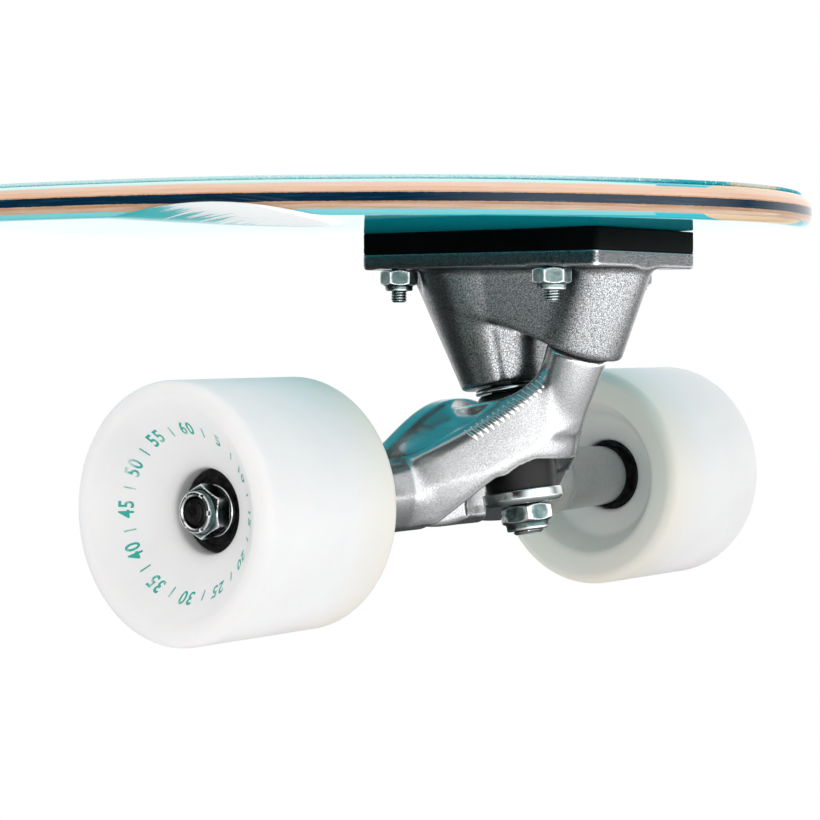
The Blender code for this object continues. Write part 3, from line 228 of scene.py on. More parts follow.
def crown_attribute(mesh, rounds=2):
    """Stores how far each point stands out from the mean of its neighbours, over the edge length: the tumbled
    and handled edges of a piece, where its skin is rubbed bright and a highlight is painted along them."""
    count = len(mesh.vertices)
    co, normal = read_points(mesh), read_points(mesh, "normal")
    edges = np.zeros(len(mesh.edges) * 2, int)
    mesh.edges.foreach_get("vertices", edges)
    a, b = edges.reshape(-1, 2).T
    degree = np.maximum(np.bincount(a, minlength=count) + np.bincount(b, minlength=count), 1)

    def around(of_a, of_b):
        """The mean over a point's edges of what each edge brings it."""
        return (np.bincount(a, of_b, count) + np.bincount(b, of_a, count)) / degree

    middle = np.stack([around(co[a, k], co[b, k]) for k in range(3)], 1)
    length = np.linalg.norm(co[a] - co[b], axis=1)
    crown = ((co - middle) * normal).sum(1) / np.maximum(around(length, length), 1e-9)
    for _ in range(rounds):
        crown = (crown + around(crown[a], crown[b])) / 2
    store(mesh, "crown", crown)


def shaped(name, points, faces, finish, sharp=35):
    """A mesh object at the origin with smooth faces, its edges sharp past the angle."""
    mesh = bpy.data.meshes.new(name)
    mesh.from_pydata(np.asarray(points).tolist(), [], faces)
    outward(mesh)
    mesh.shade_smooth()
    mesh.set_sharp_from_angle(angle=math.radians(sharp))
    crown_attribute(mesh)
    mesh.materials.append(finish)
    made = bpy.data.objects.new(name, mesh)
    bpy.context.scene.collection.objects.link(made)
    return made


def board_piece(name, rings, base, thickness, finish):
    """The board's mesh with its height through the plies, its way in from the rim and the wells' depth."""
    made = shaped(name, *wrapped(rings * MM, capped=False), finish, sharp=50)
    x, y, z = (read_points(made.data) / MM).T
    edge = half_width(x) - np.abs(y)
    nose = DECK_LENGTH / 2 - np.abs(x)
    store(made.data, "ply", ((z - underside(x, y)) / upright(x, y) - base) / thickness)
    store(made.data, "rim", np.minimum(edge, nose * 2) / 10)
    store(made.data, "well", well_depth(x, y))
    return made


def node(tree, kind, inputs=(), out=0, **settings):
    """A shader node with its settings, and its inputs given as values or as sockets to link."""
    made = tree.nodes.new("ShaderNode" + kind)
    for name, value in settings.items():
        setattr(made, name, value)
    for key, value in dict(inputs).items():
        if isinstance(value, bpy.types.NodeSocket):
            tree.links.new(value, made.inputs[key])
        else:
            made.inputs[key].default_value = value
    return made.outputs[out]


def place_of(tree):
    """The piece's own coordinates."""
    return node(tree, "TexCoord", out=3)


def apart(tree, place):
    """The three coordinates of a place."""
    return [node(tree, "SeparateXYZ", {0: place}, k) for k in range(3)]


def marked(tree, key):
    """A value stored on the piece's points."""
    return node(tree, "Attribute", out=2, attribute_name=key)


def worked(tree, how, first, second=0.0):
    """One step of arithmetic, or a comparison, on two values."""
    return node(tree, "Math", {0: first, 1: second}, operation=how)


def spread(tree, value, low, high, at_low=0.0, at_high=1.0, way="LINEAR"):
    """The value's stretch from low to high drawn out from at_low to at_high, and held past its ends."""
    inputs = {0: value, 1: low, 2: high, 3: at_low, 4: at_high}
    return node(tree, "MapRange", inputs, interpolation_type=way)


def clouds(tree, scale, detail=2.0, roughness=0.5, place=None, distortion=0.0):
    """Noise over the piece's own coordinates, or over the place given."""
    place = place_of(tree) if place is None else place
    inputs = dict(Vector=place, Scale=scale, Detail=detail, Roughness=roughness, Distortion=distortion)
    return node(tree, "TexNoise", inputs)


def mixed(tree, factor, first, second, blend="MIX"):
    """Colour going from the first to the second with the factor."""
    first, second = [(*colour, 1.0) if isinstance(colour, tuple) else colour for colour in (first, second)]
    return node(tree, "Mix", {0: factor, 6: first, 7: second}, 2, data_type="RGBA", blend_type=blend)


def steps_of(tree, value, stops, interpolation="LINEAR"):
    """A colour ramp over the value: stops are pairs of place and colour."""
    made = tree.nodes.new("ShaderNodeValToRGB")
    made.color_ramp.interpolation = interpolation
    while len(made.color_ramp.elements) < len(stops):
        made.color_ramp.elements.new(0.5)
    for element, (place, colour) in zip(made.color_ramp.elements, stops):
        element.position = place
        element.color = (*colour, 1.0)
    tree.links.new(value, made.inputs[0])
    return made.outputs[0]


def grey(value):
    """A colour of three like values."""
    return (value, value, value)


def bumped(tree, height, strength, distance):
    """The normals of a surface that a height raises by up to the distance."""
    return node(tree, "Bump", {"Height": height, "Strength": strength, "Distance": distance})


def finish_of(name):
    """A new material, its tree and its Principled shader."""
    made = bpy.data.materials.new(name)
    made.use_nodes = True
    return made, made.node_tree, made.node_tree.nodes["Principled BSDF"]


def wire(tree, shader, **sockets):
    """Links or sets the shader's sockets by their names, with spaces for underscores."""
    for name, value in sockets.items():
        socket = shader.inputs[name.replace("_", " ")]
        if isinstance(value, bpy.types.NodeSocket):
            tree.links.new(value, socket)
        else:
            socket.default_value = value


def paint_sweeps(tree):
    """The painted faces: chevrons of teal, pale cyan and white across the board, bent by slow noise, a teal
    field with a cyan border at the front truck, and an orange and sand block at the nose."""
    along, across, _ = apart(tree, place_of(tree))
    aside = worked(tree, "ABSOLUTE", across)
    bend = spread(tree, clouds(tree, 3.2, 3.0, 0.45), 0.0, 1.0, -0.05, 0.05)
    swept = worked(tree, "ADD", worked(tree, "ADD", along, worked(tree, "MULTIPLY", aside, -0.6)), bend)
    chevrons = steps_of(tree, spread(tree, swept, -0.5, 0.6), CHEVRONS, "CONSTANT")
    border = worked(tree, "ADD", aside, worked(tree, "MULTIPLY", bend, 0.7))
    field = mixed(tree, worked(tree, "GREATER_THAN", border, BORDER_START), FIELD_TEAL, BORDER_CYAN)
    faces = mixed(tree, worked(tree, "GREATER_THAN", along, FIELD_START), chevrons, field)
    block = steps_of(tree, spread(tree, worked(tree, "ADD", along, bend), 0.3, 0.4), NOSE_BLOCK, "CONSTANT")
    return mixed(tree, worked(tree, "GREATER_THAN", along, NOSE_PRINT), faces, block)


def laminate_finish():
    """Lacquered laminate: plies by their height, with fibre and ragged joints, paint on both faces, a strip
    along the rail's edges, white brushed nearly dry into the wells, and a clear coat over all."""
    made, tree, shader = finish_of("lacquered_laminate")
    place = place_of(tree)
    along = apart(tree, place)[0]
    rim = marked(tree, "rim")
    fibre_map = node(tree, "Mapping", {"Vector": place, "Scale": (14.0, 14.0, 420.0)})
    fibre = clouds(tree, 5.0, 6.0, 0.65, fibre_map)
    ragged = spread(tree, clouds(tree, 900.0), 0.0, 1.0, -0.014, 0.014)
    layer = worked(tree, "ADD", marked(tree, "ply"), ragged)
    fibrous = steps_of(tree, fibre, [(0.35, grey(0.0)), (0.75, grey(0.42))])
    pale = mixed(tree, fibrous, steps_of(tree, layer, PLIES, "CONSTANT"), PALE_FIBRE)
    above = worked(tree, "GREATER_THAN", layer, NAVY_FOOT)
    in_navy = worked(tree, "MULTIPLY", above, worked(tree, "LESS_THAN", layer, NAVY_TOP))
    dyed = mixed(tree, spread(tree, fibre, 0.52, 0.8, 0.0, 0.4), NAVY, NAVY_GLINT)
    wood = mixed(tree, in_navy, pale, dyed)
    streak_turn, streak_scale = (0.0, 0.0, 0.12), (26.0, 620.0, 1.0)
    streak_map = node(tree, "Mapping", {"Vector": place, "Rotation": streak_turn, "Scale": streak_scale})
    dryness = spread(tree, worked(tree, "ABSOLUTE", along), BRUSHED_FROM, BRUSHED_TO, -0.35, 0.35)
    brushed = worked(tree, "ADD", clouds(tree, 1.0, 4.0, 0.7, streak_map), dryness)
    brushwork = mixed(tree, spread(tree, brushed, 0.49, 0.53), WELL_TEAL, BRUSHED_WHITE)
    below = worked(tree, "LESS_THAN", layer, 0.7)
    milled = worked(tree, "MULTIPLY", spread(tree, marked(tree, "well"), 0.10, 0.14), below)
    paint = mixed(tree, milled, paint_sweeps(tree), brushwork)
    top = worked(tree, "GREATER_THAN", layer, 0.885)
    foot = worked(tree, "LESS_THAN", layer, 0.15)
    inner = worked(tree, "GREATER_THAN", rim, 0.33)
    behind_nose = worked(tree, "LESS_THAN", along, RAIL_PAINT_END)
    on_rail = worked(tree, "MULTIPLY", worked(tree, "LESS_THAN", rim, 0.30), behind_nose)
    paint = mixed(tree, on_rail, paint, mixed(tree, top, STRIP_TEAL, STRIP_PALE))
    painted = worked(tree, "MAXIMUM", worked(tree, "MAXIMUM", top, foot), inner)
    wire(
        tree,
        shader,
        Base_Color=mixed(tree, painted, wood, paint),
        Roughness=spread(tree, fibre, 0.3, 0.8, 0.5, 0.65),
        Normal=bumped(tree, fibre, 0.12, 0.0004),
        Specular_IOR_Level=0.0,
        Coat_Weight=1.0,
        Coat_Roughness=0.03,
        Coat_IOR=1.42,
    )
    return made


shares = np.concatenate([np.linspace(0, 0.55, 6)[:-1], np.linspace(0.55, 1.0, 24)])
rings = board_rings(0.0, DECK_THICKNESS, RAIL_RADIUS, 0.0, shares, 8, 1.0)
deck = board_piece("laminated_deck", rings, 0.0, DECK_THICKNESS, laminate_finish())
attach(deck, "board")
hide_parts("deck")


# Grip sheet
# A sheet of mineral grit in clear adhesive on the painted top, its edge rolled down just inside the rail,
# with a hole over each mounting bolt.
GRIP_THICKNESS, GRIP_INSET, GRIP_HOLE = 0.8, 3.6, 4.85
SEAT_GAP, GRIP_LIFT = 0.3, 0.02
BOLTS_ALONG, BOLTS_ACROSS = (49.5, -4.48), 20.64
CUTTER_FOOT, CUTTER_TOP = 83.5, 90.0
PAINTED_GLINT = (0.9, 0.95, 0.95)


def in_truck(points, end):
    """A truck's own millimetres, about the middle of its axle with the pivot towards +X, to the frame's
    metres: turned half round for the rear truck, scaled, and moved to the axle."""
    centre, turn = TRUCKS[end]
    return np.asarray(points, float) * (turn, turn, 1.0) * MM + centre


def turned(profile, count):
    """A profile of (radius, height) carried round Z: rings of count points."""
    profile = np.asarray(profile, float)
    turn = np.linspace(0, 2 * math.pi, count, endpoint=False)
    radius, height = profile[:, 0, None], profile[:, 1, None]
    return np.stack([radius * np.cos(turn), radius * np.sin(turn), height + 0 * turn], -1)


def grit_finish():
    """The paint below it, with painted shade between the grains, a painted glint on some of them, and a pale
    border at the rim.
    """
    made, tree, shader = finish_of("mineral_grit")
    grit = node(tree, "TexVoronoi", {"Vector": place_of(tree), "Scale": 1400.0}, feature="F1")
    # Painted shade in the gaps between the grains.
    shade = steps_of(tree, grit, [(0.1, grey(1.0)), (0.7, grey(0.7))])
    colour = mixed(tree, 1.0, paint_sweeps(tree), shade, "MULTIPLY")
    colour = mixed(tree, spread(tree, marked(tree, "rim"), 0.5, 0.9, 1.0, 0.0), colour, STRIP_PALE)
    # A painted glint on some of the grains.
    colour = mixed(tree, worked(tree, "GREATER_THAN", clouds(tree, 1500.0, 1.0), 0.68), colour, PAINTED_GLINT)
    height = worked(tree, "SUBTRACT", clouds(tree, 700.0, 3.0), grit)
    wire(tree, shader, Base_Color=colour, Roughness=0.7, Normal=bumped(tree, height, 0.8, 0.0004))
    return made


edge = GRIP_THICKNESS / 2
thickness = GRIP_THICKNESS + SEAT_GAP
rings = board_rings(
    DECK_THICKNESS + GRIP_LIFT, thickness - GRIP_LIFT, edge, GRIP_INSET - edge, shares[::3], 3, 0.0
)
grip = board_piece("grit_sheet", rings, DECK_THICKNESS, thickness, grit_finish())
cutter_points, cutter_faces = [], []
for end in TRUCKS:
    for along in BOLTS_ALONG:
        for across in (-BOLTS_ACROSS, BOLTS_ACROSS):
            hole = turned([(GRIP_HOLE, CUTTER_FOOT), (GRIP_HOLE, CUTTER_TOP)], 40) + (along, across, 0.0)
            points, faces = wrapped(in_truck(hole, end))
            cutter_faces += [[v + len(cutter_points) for v in face] for face in faces]
            cutter_points += points.tolist()
cutter = shaped("grip_holes", cutter_points, cutter_faces, grip.data.materials[0])
cut = grip.modifiers.new("holes", "BOOLEAN")
cut.object = cutter
cut.operation = "DIFFERENCE"
cut.solver = "EXACT"
grip.data = bpy.data.meshes.new_from_object(grip.evaluated_get(bpy.context.evaluated_depsgraph_get()))
grip.modifiers.clear()
bpy.data.objects.remove(cutter)
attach(grip, "board")
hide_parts("grip_sheet")


# Riser pads
# A hard rubber pad under each end of the board, moulded in one block the size of the truck's plate.
PLATE_LENGTH, PLATE_WIDTH, PLATE_CORNER = 82.0, 51.0, 1.5
PLATE_HEIGHT, PLATE_THICKNESS = 64.5, 4.7
RISER_FOOT, RISER_TOP = PLATE_HEIGHT + PLATE_THICKNESS - 0.05, DECK_UNDERSIDE + 0.05
RISER_EDGES = (
    (0.25, RISER_FOOT),
    (0.12, RISER_FOOT + 0.15),
    (0.05, RISER_FOOT + 0.45),
    (0.05, RISER_TOP - 0.35),
    (0.12, RISER_TOP - 0.15),
    (0.25, RISER_TOP),
)


def rounded_rectangle(length, width, corner, centre, parts=8):
    """A rectangle's outline with quarter circles for corners."""
    outline = []
    for side_x, side_y, start in ((1, -1, -90), (1, 1, 0), (-1, 1, 90), (-1, -1, 180)):
        turn = np.radians(np.linspace(start, start + 90, parts))
        middle = (centre + side_x * (length / 2 - corner), side_y * (width / 2 - corner))
        outline.append(np.stack([middle[0] + corner * np.cos(turn), middle[1] + corner * np.sin(turn)], 1))
    return np.concatenate(outline)


def clouded_finish(name, cloud, colours, rough, bump, fine=None, edge=None, **sockets):
    """A smooth finish: its colour and roughness drift with slow noise, and its bump follows that or a finer
    noise. Where an edge is given, the piece's rubbed edges go over to its colour, which also paints a
    highlight along them."""
    made, tree, shader = finish_of(name)
    slow = clouds(tree, **cloud)
    colour = steps_of(tree, slow, colours)
    if edge:
        colour = mixed(tree, spread(tree, marked(tree, "crown"), *edge[:2]), colour, edge[2])
    relief = bumped(tree, clouds(tree, *fine) if fine else slow, *bump)
    dull = spread(tree, slow, 0.3, 0.7, *rough)
    wire(tree, shader, Base_Color=colour, Roughness=dull, Normal=relief, **sockets)
    return made


RUBBER = clouded_finish(
    "moulded_rubber",
    {"scale": 60.0, "detail": 4.0},
    [(0.3, grey(0.0004)), (0.8, grey(0.0015))],
    (0.5, 0.65),
    (0.15, 0.0002),
    fine=(1800.0, 2.0),
    Specular_IOR_Level=0.05,
)


def truck_piece(name, rings, end, finish, loop=False):
    """Rings in a truck's own millimetres made a mesh object in the frame."""
    return shaped(name, *wrapped(in_truck(rings, end), loop), finish)


for end in TRUCKS:
    levels = []
    for inset, height in RISER_EDGES:
        outline = rounded_rectangle(
            PLATE_LENGTH - 2 * inset, PLATE_WIDTH - 2 * inset, PLATE_CORNER, PLATE_FRONT - PLATE_LENGTH / 2
        )
        levels.append(np.column_stack([outline, np.full(len(outline), height)]))
    riser = truck_piece(f"{end}_riser", levels, end, RUBBER)
    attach(riser, "board")
    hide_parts(f"{end}_riser_pad")


# Baseplates
# One aluminium casting each: a flange, a leaning kingpin boss and a pivot housing with a web between them,
# left as it came from the sand, with a painted glint on its grains, its edges rubbed bright in the tumbler
# and a highlight painted along them.
GRID_STEP = 0.5
PLATE_SPACE = ((-16.0, 69.5), 27.5, (27.0, 71.5))
KINGPIN_LEAN, SEAT = -10.5, (19.3, 0.0, 31.0)
PIVOT_LEAN, NECK = 20.0, (44.0, 0.0, 41.0)
BOSS_RADIUS, BOSS_DRAFT = 13.0, 0.268
HOUSING_RADIUS, HOUSING_DRAFT, HOUSING_FOOT = 12.5, 0.035, 1.6
CREASE_TURN, CREASE_SPREAD, CREASE_DEPTH = 66, 14, 2.0
BOSS_SLOPE, WEB_SLOPE = 0.97, 0.96
WEB_FILLET, FLANGE_FILLET, CRISP_HEIGHT = 1.5, 2.2, 1.5
POCKET_RADIUS, POCKET_DEPTH, POCKET_EASE, BOLT_HOLE = 6.8, 0.2, 0.6, 2.65
PIN_BORE, HEAD_BORE, HEAD_SEAT = 5.0, 8.5, 29.9
SOCKET_RADIUS, SOCKET_DEPTH = 8.8, 15.6


def polygon_distance(x, y, outline):
    """Signed distance to a closed outline, negative inside: the nearest edge's distance, with its sign from
    how often a ray along x crosses the outline."""
    shape = np.broadcast(x, y).shape
    nearest = np.full(shape, 1e9, np.float32)
    inside = np.zeros(shape, bool)
    for (ax, ay), (bx, by) in zip(outline, np.roll(outline, -1, axis=0)):
        ex, ey = bx - ax, by - ay
        t = np.clip(((x - ax) * ex + (y - ay) * ey) / max(ex * ex + ey * ey, 1e-12), 0, 1)
        nearest = np.minimum(nearest, (x - ax - ex * t) ** 2 + (y - ay - ey * t) ** 2)
        if by != ay:
            inside ^= ((y >= ay) != (y >= by)) & (x < ax + (y - ay) * ex / ey)
    return np.where(inside, -1, 1) * np.sqrt(nearest)


def joined(a, b, size):
    """The smooth union of two distance fields, with a fillet of about the size given."""
    h = np.clip(0.5 + 0.5 * (b - a) / size, 0, 1)
    return b * (1 - h) + a * h - size * h * (1 - h)


def taken(a, b, size):
    """Field a with b cut out of it, the new edge eased."""
    return -joined(-a, b, size)


def pin_place(x, y, z, degrees, base):
    """Radius from a leaning pin's line, height along it, and the place across it in its plane of lean."""
    c, s = math.cos(math.radians(degrees)), math.sin(math.radians(degrees))
    dx, dz = x - base[0], z - base[2]
    across = dx * c - dz * s
    return np.hypot(across, y), dx * s + dz * c, across


def tumbled(field, passes):
    """The field averaged with its neighbours along each axis, which rounds every edge a little."""
    for _ in range(passes):
        for axis in range(3):
            moved = np.moveaxis(field, axis, 0)
            moved[1:-1] = (moved[:-2] + 2 * moved[1:-1] + moved[2:]) / 4
    return field


def half_space(along, across, up):
    """The grid's places over a truck's left half, and the same shaped for sums over the whole grid."""
    xs = np.arange(*along, GRID_STEP, np.float32)
    ys = np.arange(GRID_STEP / 2, across, GRID_STEP, np.float32)
    zs = np.arange(*up, GRID_STEP, np.float32)
    return (xs, ys, zs), (xs[:, None, None], ys[None, :, None], zs[None, None, :])


def both_halves(field, ys):
    """A field over both halves of the truck from the left one's, and its places across."""
    return np.concatenate([field[:, ::-1], field], 1), np.concatenate([-ys[::-1], ys])


CORNERS = [(i, j, k) for i in (0, 1) for j in (0, 1) for k in (0, 1)]
CELL_EDGES = [(a, b) for a in CORNERS for b in CORNERS if a < b and sum(np.abs(np.subtract(a, b))) == 1]


def skin_of(field, origin):
    """The field's zero surface: one point in each cell that it crosses, at the mean of the crossings on the
    cell's edges and then drawn onto the surface, and one face round each grid edge that it crosses."""
    solid = field < 0
    count = np.zeros([n - 1 for n in field.shape], np.int8)
    for corner in CORNERS:
        count += solid[tuple(slice(o, n - 1 + o) for o, n in zip(corner, field.shape))]
    cells = np.argwhere((count > 0) & (count < 8))
    number = np.full(count.shape, -1, np.int64)
    number[tuple(cells.T)] = np.arange(len(cells))
    at = {corner: field[tuple((cells + corner).T)] for corner in CORNERS}
    total = np.zeros((len(cells), 3))
    hits = np.zeros(len(cells))
    for a, b in CELL_EDGES:
        crossed = (at[a] < 0) != (at[b] < 0)
        t = at[a] / np.where(crossed, at[a] - at[b], 1.0)
        place = np.array(a) + t[:, None] * (np.array(b) - np.array(a))
        total += place * crossed[:, None]
        hits += crossed
    place = total / hits[:, None]
    for _ in range(2):
        value, slope = 0.0, [0.0, 0.0, 0.0]
        for corner in CORNERS:
            weights = [place[:, k] if corner[k] else 1 - place[:, k] for k in range(3)]
            value = value + at[corner] * weights[0] * weights[1] * weights[2]
            for k in range(3):
                others = [weights[m] for m in range(3) if m != k]
                slope[k] = slope[k] + at[corner] * (1 if corner[k] else -1) * others[0] * others[1]
        slope = np.stack(slope, 1)
        place -= slope * (value / np.maximum((slope**2).sum(1), 1e-9))[:, None]
        place = np.clip(place, -0.2, 1.2)
    faces = []
    for axis in range(3):
        one, two = [k for k in range(3) if k != axis]
        first = np.moveaxis(solid, axis, 0)[:-1]
        second = np.moveaxis(solid, axis, 0)[1:]
        crossing = np.argwhere(np.moveaxis(first != second, 0, axis))
        crossing = crossing[(crossing[:, one] > 0) & (crossing[:, two] > 0)]
        crossing = crossing[(crossing[:, one] < count.shape[one]) & (crossing[:, two] < count.shape[two])]
        leaving = solid[tuple(crossing.T)]
        corners = []
        for back_one, back_two in ((1, 1), (0, 1), (0, 0), (1, 0)):
            cell = crossing.copy()
            cell[:, one] -= back_one
            cell[:, two] -= back_two
            corners.append(number[tuple(cell.T)])
        quads = np.stack(corners, 1)
        inward = leaving if axis == 1 else ~leaving
        quads[inward] = quads[inward][:, ::-1]
        faces.append(quads)
    return np.asarray(origin) + (cells + place) * GRID_STEP, np.concatenate(faces)


def cast_piece(name, points, faces, finish, end, keep=1.0):
    """A casting's mesh in the frame, with its flat parts thinned out and its rubbed edges marked."""
    mesh = bpy.data.meshes.new(name)
    mesh.from_pydata(in_truck(points, end).tolist(), [], faces.tolist())
    made = bpy.data.objects.new(name, mesh)
    bpy.context.scene.collection.objects.link(made)
    if keep < 1:
        thin = made.modifiers.new("thin", "DECIMATE")
        thin.ratio = keep
        made.data = bpy.data.meshes.new_from_object(made.evaluated_get(bpy.context.evaluated_depsgraph_get()))
        made.modifiers.clear()
        bpy.data.meshes.remove(mesh)
        made.data.name = name
    made.data.shade_smooth()
    crown_attribute(made.data, rounds=3)
    made.data.materials.append(finish)
    return made


def grain_group():
    """Sandy skin of a casting: fine noise over slow noise, with the height for a bump and a mask of the
    grains that are given a lighter colour, a painted glint where they would catch the light."""
    group = bpy.data.node_groups.new("cast_grain_and_glint", "ShaderNodeTree")
    for name, way in (("Grain", "INPUT"), ("Height", "OUTPUT"), ("Glint", "OUTPUT")):
        group.interface.new_socket(name=name, in_out=way, socket_type="NodeSocketFloat")
    start = group.nodes.new("NodeGroupInput")
    finish = group.nodes.new("NodeGroupOutput")
    fine = clouds(group, start.outputs[0], 2.0, 0.8)
    slow = worked(group, "MULTIPLY", clouds(group, 110.0, 4.0), 0.6)
    group.links.new(worked(group, "ADD", fine, slow), finish.inputs[0])
    group.links.new(spread(group, fine, 0.36, 0.66), finish.inputs[1])
    return group


GRAIN_AND_GLINT = grain_group()
JOINT_BAND_GREY, JOINT_BAND_ROUGHNESS, JOINT_BAND_REACH = (0.015, 0.015, 0.015), 0.9, (0.0005, 0.0003)


def cast_finish(name, dark, light, bright, grain, rough, depth, edge, metal=1.0, joint=9.0):
    """Bare aluminium casting: two greys by grain, the lighter a painted glint, brighter where its edges are
    rubbed, which also paints a highlight along them, the sand in a bump, and a dark, rough band from just
    under the height of a joint upwards."""
    made, tree, shader = finish_of(name)
    sand = tree.nodes.new("ShaderNodeGroup")
    sand.node_tree = GRAIN_AND_GLINT
    sand.inputs[0].default_value = grain
    # Rubbed edges: a real polish, and also a painted highlight in their brighter colour.
    rubbed_and_highlit = spread(tree, marked(tree, "crown"), *edge)
    # The lighter grey, on the grains that the glint mask picks, is a painted glint.
    colour = mixed(tree, rubbed_and_highlit, mixed(tree, sand.outputs[1], dark, light), bright)
    lift = apart(tree, place_of(tree))[2]
    # A dark, rough band over the top edge, from just under the joint's height upwards.
    joint_band = spread(tree, lift, joint - JOINT_BAND_REACH[0], joint - JOINT_BAND_REACH[1])
    dull = spread(tree, joint_band, 0.0, 1.0, spread(tree, rubbed_and_highlit, 0.0, 1.0, rough, rough * 0.6), JOINT_BAND_ROUGHNESS)
    relief = bumped(tree, sand.outputs[0], 0.3, depth)
    colour = mixed(tree, joint_band, colour, JOINT_BAND_GREY)
    wire(tree, shader, Base_Color=colour, Metallic=metal, Roughness=dull, Normal=relief)
    return made


def baseplate_field():
    """The casting as a distance field: cones for boss and housing, the hull between them above the housing's
    foot, the flange, fillets where they meet, then the pockets, bores and socket cut from it."""
    (xs, ys, zs), (x, y, z) = half_space(*PLATE_SPACE)
    boss_r, boss_h, boss_across = pin_place(x, y, z, KINGPIN_LEAN, SEAT)
    house_r, house_h, _ = pin_place(x, y, z, PIVOT_LEAN, NECK)
    boss_radius = BOSS_RADIUS + BOSS_DRAFT * boss_h
    house_radius = HOUSING_RADIUS + HOUSING_DRAFT * house_h
    turn = np.degrees(np.arctan2(y, boss_across))
    crease = np.clip((CREASE_TURN - turn) / CREASE_SPREAD, 0, 1)
    crease = crease * crease * (3 - 2 * crease)
    boss = np.maximum((boss_r - boss_radius + CREASE_DEPTH * crease) * BOSS_SLOPE, -boss_h)
    house = np.maximum(house_r - house_radius, HOUSING_FOOT - house_h)
    boss_x = SEAT[0] - (z - SEAT[2]) * math.tan(math.radians(-KINGPIN_LEAN))
    house_x = NECK[0] + (z - NECK[2]) * math.tan(math.radians(PIVOT_LEAN))
    share = np.clip((x - boss_x) / (house_x - boss_x), 0, 1)
    wall = BOSS_RADIUS + BOSS_DRAFT * (z - SEAT[2]) + share * (
        HOUSING_RADIUS + HOUSING_DRAFT * (z - NECK[2]) - BOSS_RADIUS - BOSS_DRAFT * (z - SEAT[2])
    )
    hull = np.hypot(x - boss_x - share * (house_x - boss_x), y) - wall
    hull = np.maximum(hull * WEB_SLOPE, HOUSING_FOOT - house_h)
    pedestal = tumbled(joined(joined(boss, house, WEB_FILLET), hull, WEB_FILLET), 2)
    centre = PLATE_FRONT - PLATE_LENGTH / 2
    qx = np.abs(x - centre) - PLATE_LENGTH / 2 + PLATE_CORNER
    qy = y - PLATE_WIDTH / 2 + PLATE_CORNER
    outline = np.hypot(np.maximum(qx, 0), np.maximum(qy, 0)) + np.minimum(np.maximum(qx, qy), 0)
    outline = outline - PLATE_CORNER
    top = PLATE_HEIGHT + PLATE_THICKNESS
    flange = np.maximum(outline, np.abs(z - (PLATE_HEIGHT + top) / 2) - PLATE_THICKNESS / 2)
    field = joined(flange, pedestal, FLANGE_FILLET)
    field = np.maximum(field, z - top)
    field = np.maximum(field, outline - 8 * np.clip(PLATE_HEIGHT - z, 0, None))
    for along in BOLTS_ALONG:
        from_bolt = np.hypot(x - along, y - BOLTS_ACROSS)
        pocket = np.maximum(from_bolt - POCKET_RADIUS, z - PLATE_HEIGHT - POCKET_DEPTH)
        field = taken(field, pocket, POCKET_EASE)
    outline, _ = both_halves(outline, ys)
    field, ys = both_halves(field, ys)
    field = tumbled(field, 1)
    crisp = np.maximum(outline, np.maximum(z - top, PLATE_HEIGHT + CRISP_HEIGHT - z))
    field = np.minimum(field, crisp)
    y = ys[None, :, None]
    for along in BOLTS_ALONG:
        field = np.maximum(field, BOLT_HOLE - np.hypot(x - along, np.abs(y) - BOLTS_ACROSS))
    boss_r, boss_h, _ = pin_place(x, y, z, KINGPIN_LEAN, SEAT)
    house_r, house_h, _ = pin_place(x, y, z, PIVOT_LEAN, NECK)
    field = np.maximum(field, PIN_BORE - boss_r)
    field = np.maximum(field, -np.maximum(boss_r - HEAD_BORE, HEAD_SEAT - boss_h))
    field = np.maximum(field, -np.maximum(house_r - SOCKET_RADIUS, house_h - SOCKET_DEPTH))
    return field, (xs[0], ys[0], zs[0])


SAND_CAST = cast_finish(
    "sand_cast_aluminium",
    dark=(0.05, 0.052, 0.055),
    light=(0.50, 0.51, 0.52),
    bright=(0.92, 0.93, 0.94),
    grain=3000.0,
    rough=0.26,
    depth=0.00014,
    edge=(0.07, 0.16),
    joint=(AXLE_HEIGHT + PLATE_HEIGHT + PLATE_THICKNESS) * MM,
)
points, faces = skin_of(*baseplate_field())
for end in TRUCKS:
    plate = cast_piece(f"{end}_plate_casting", points, faces, SAND_CAST, end)
    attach(plate, "board")
    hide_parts(f"{end}_baseplate")


# Hangers
# The casting that carries the axle: a beam with two arms, a bow-shaped front with an arch on each side, a
# pan behind it for the kingpin, and a neck that ends in the pivot pin. Finer sand and more polish, with short
# ribs down the front from its rim.
HANGER_SPACE, EMPTY = ((-13.0, 62.0), 84.0, (-13.0, 58.5)), 30.0
HANGER_HALF, ARM_NOSE, ARM_NOSE_RADIUS, ARM_END_EASE = 81.2, 82.2, 6.5, 2.4
ARM_END_RADIUS, BEAM_RADIUS, BEAM_SPAN, BEAM_FILLET, AXLE_BORE = 9.4, 10.6, 30.0, 5.0, 4.22
BOW_NOSE, BOW_SHOULDER, BOW_SHOULDER_FORWARD, BOW_CURVE, BOW_TUCK = 43.5, 33.0, 6.0, 1.6, 5.5
RIM_TOP, RIM_MIDDLE, RIM_SHOULDER, RIM_CAP, RIM_WIDTH = 43.5, 25.5, 9.0, 40.0, 4.5
ARM_CREST, PAN_DEPTH, FOOT_NOSE, FOOT_ARM = 8.2, 3.5, 2.5, -8.2
BACK_WALL_HEIGHT, BACK_WALL_TOP, BODY_SPAN = 27.0, 9.0, 46.0
NECK_RADIUS, NECK_TAPER, NECK_DEPTH, NECK_FILLET, PIVOT_RADIUS, PIVOT_ROUND = 8.9, 0.068, 22.0, 3.0, 6.0, 7.0
RING_TOP, RING_FOOT, LOWER_PLATE, RING_EASE = 12.4, 19.4, 33.2, 0.6
COLLAR_RADIUS, COLLAR_WALL, COLLAR_DROP, COLLAR_FILLET = 14.4, 1.8, 4.6, 3.0
ARCH_DEPTH, ARCH_EASE = 9.3, 0.8
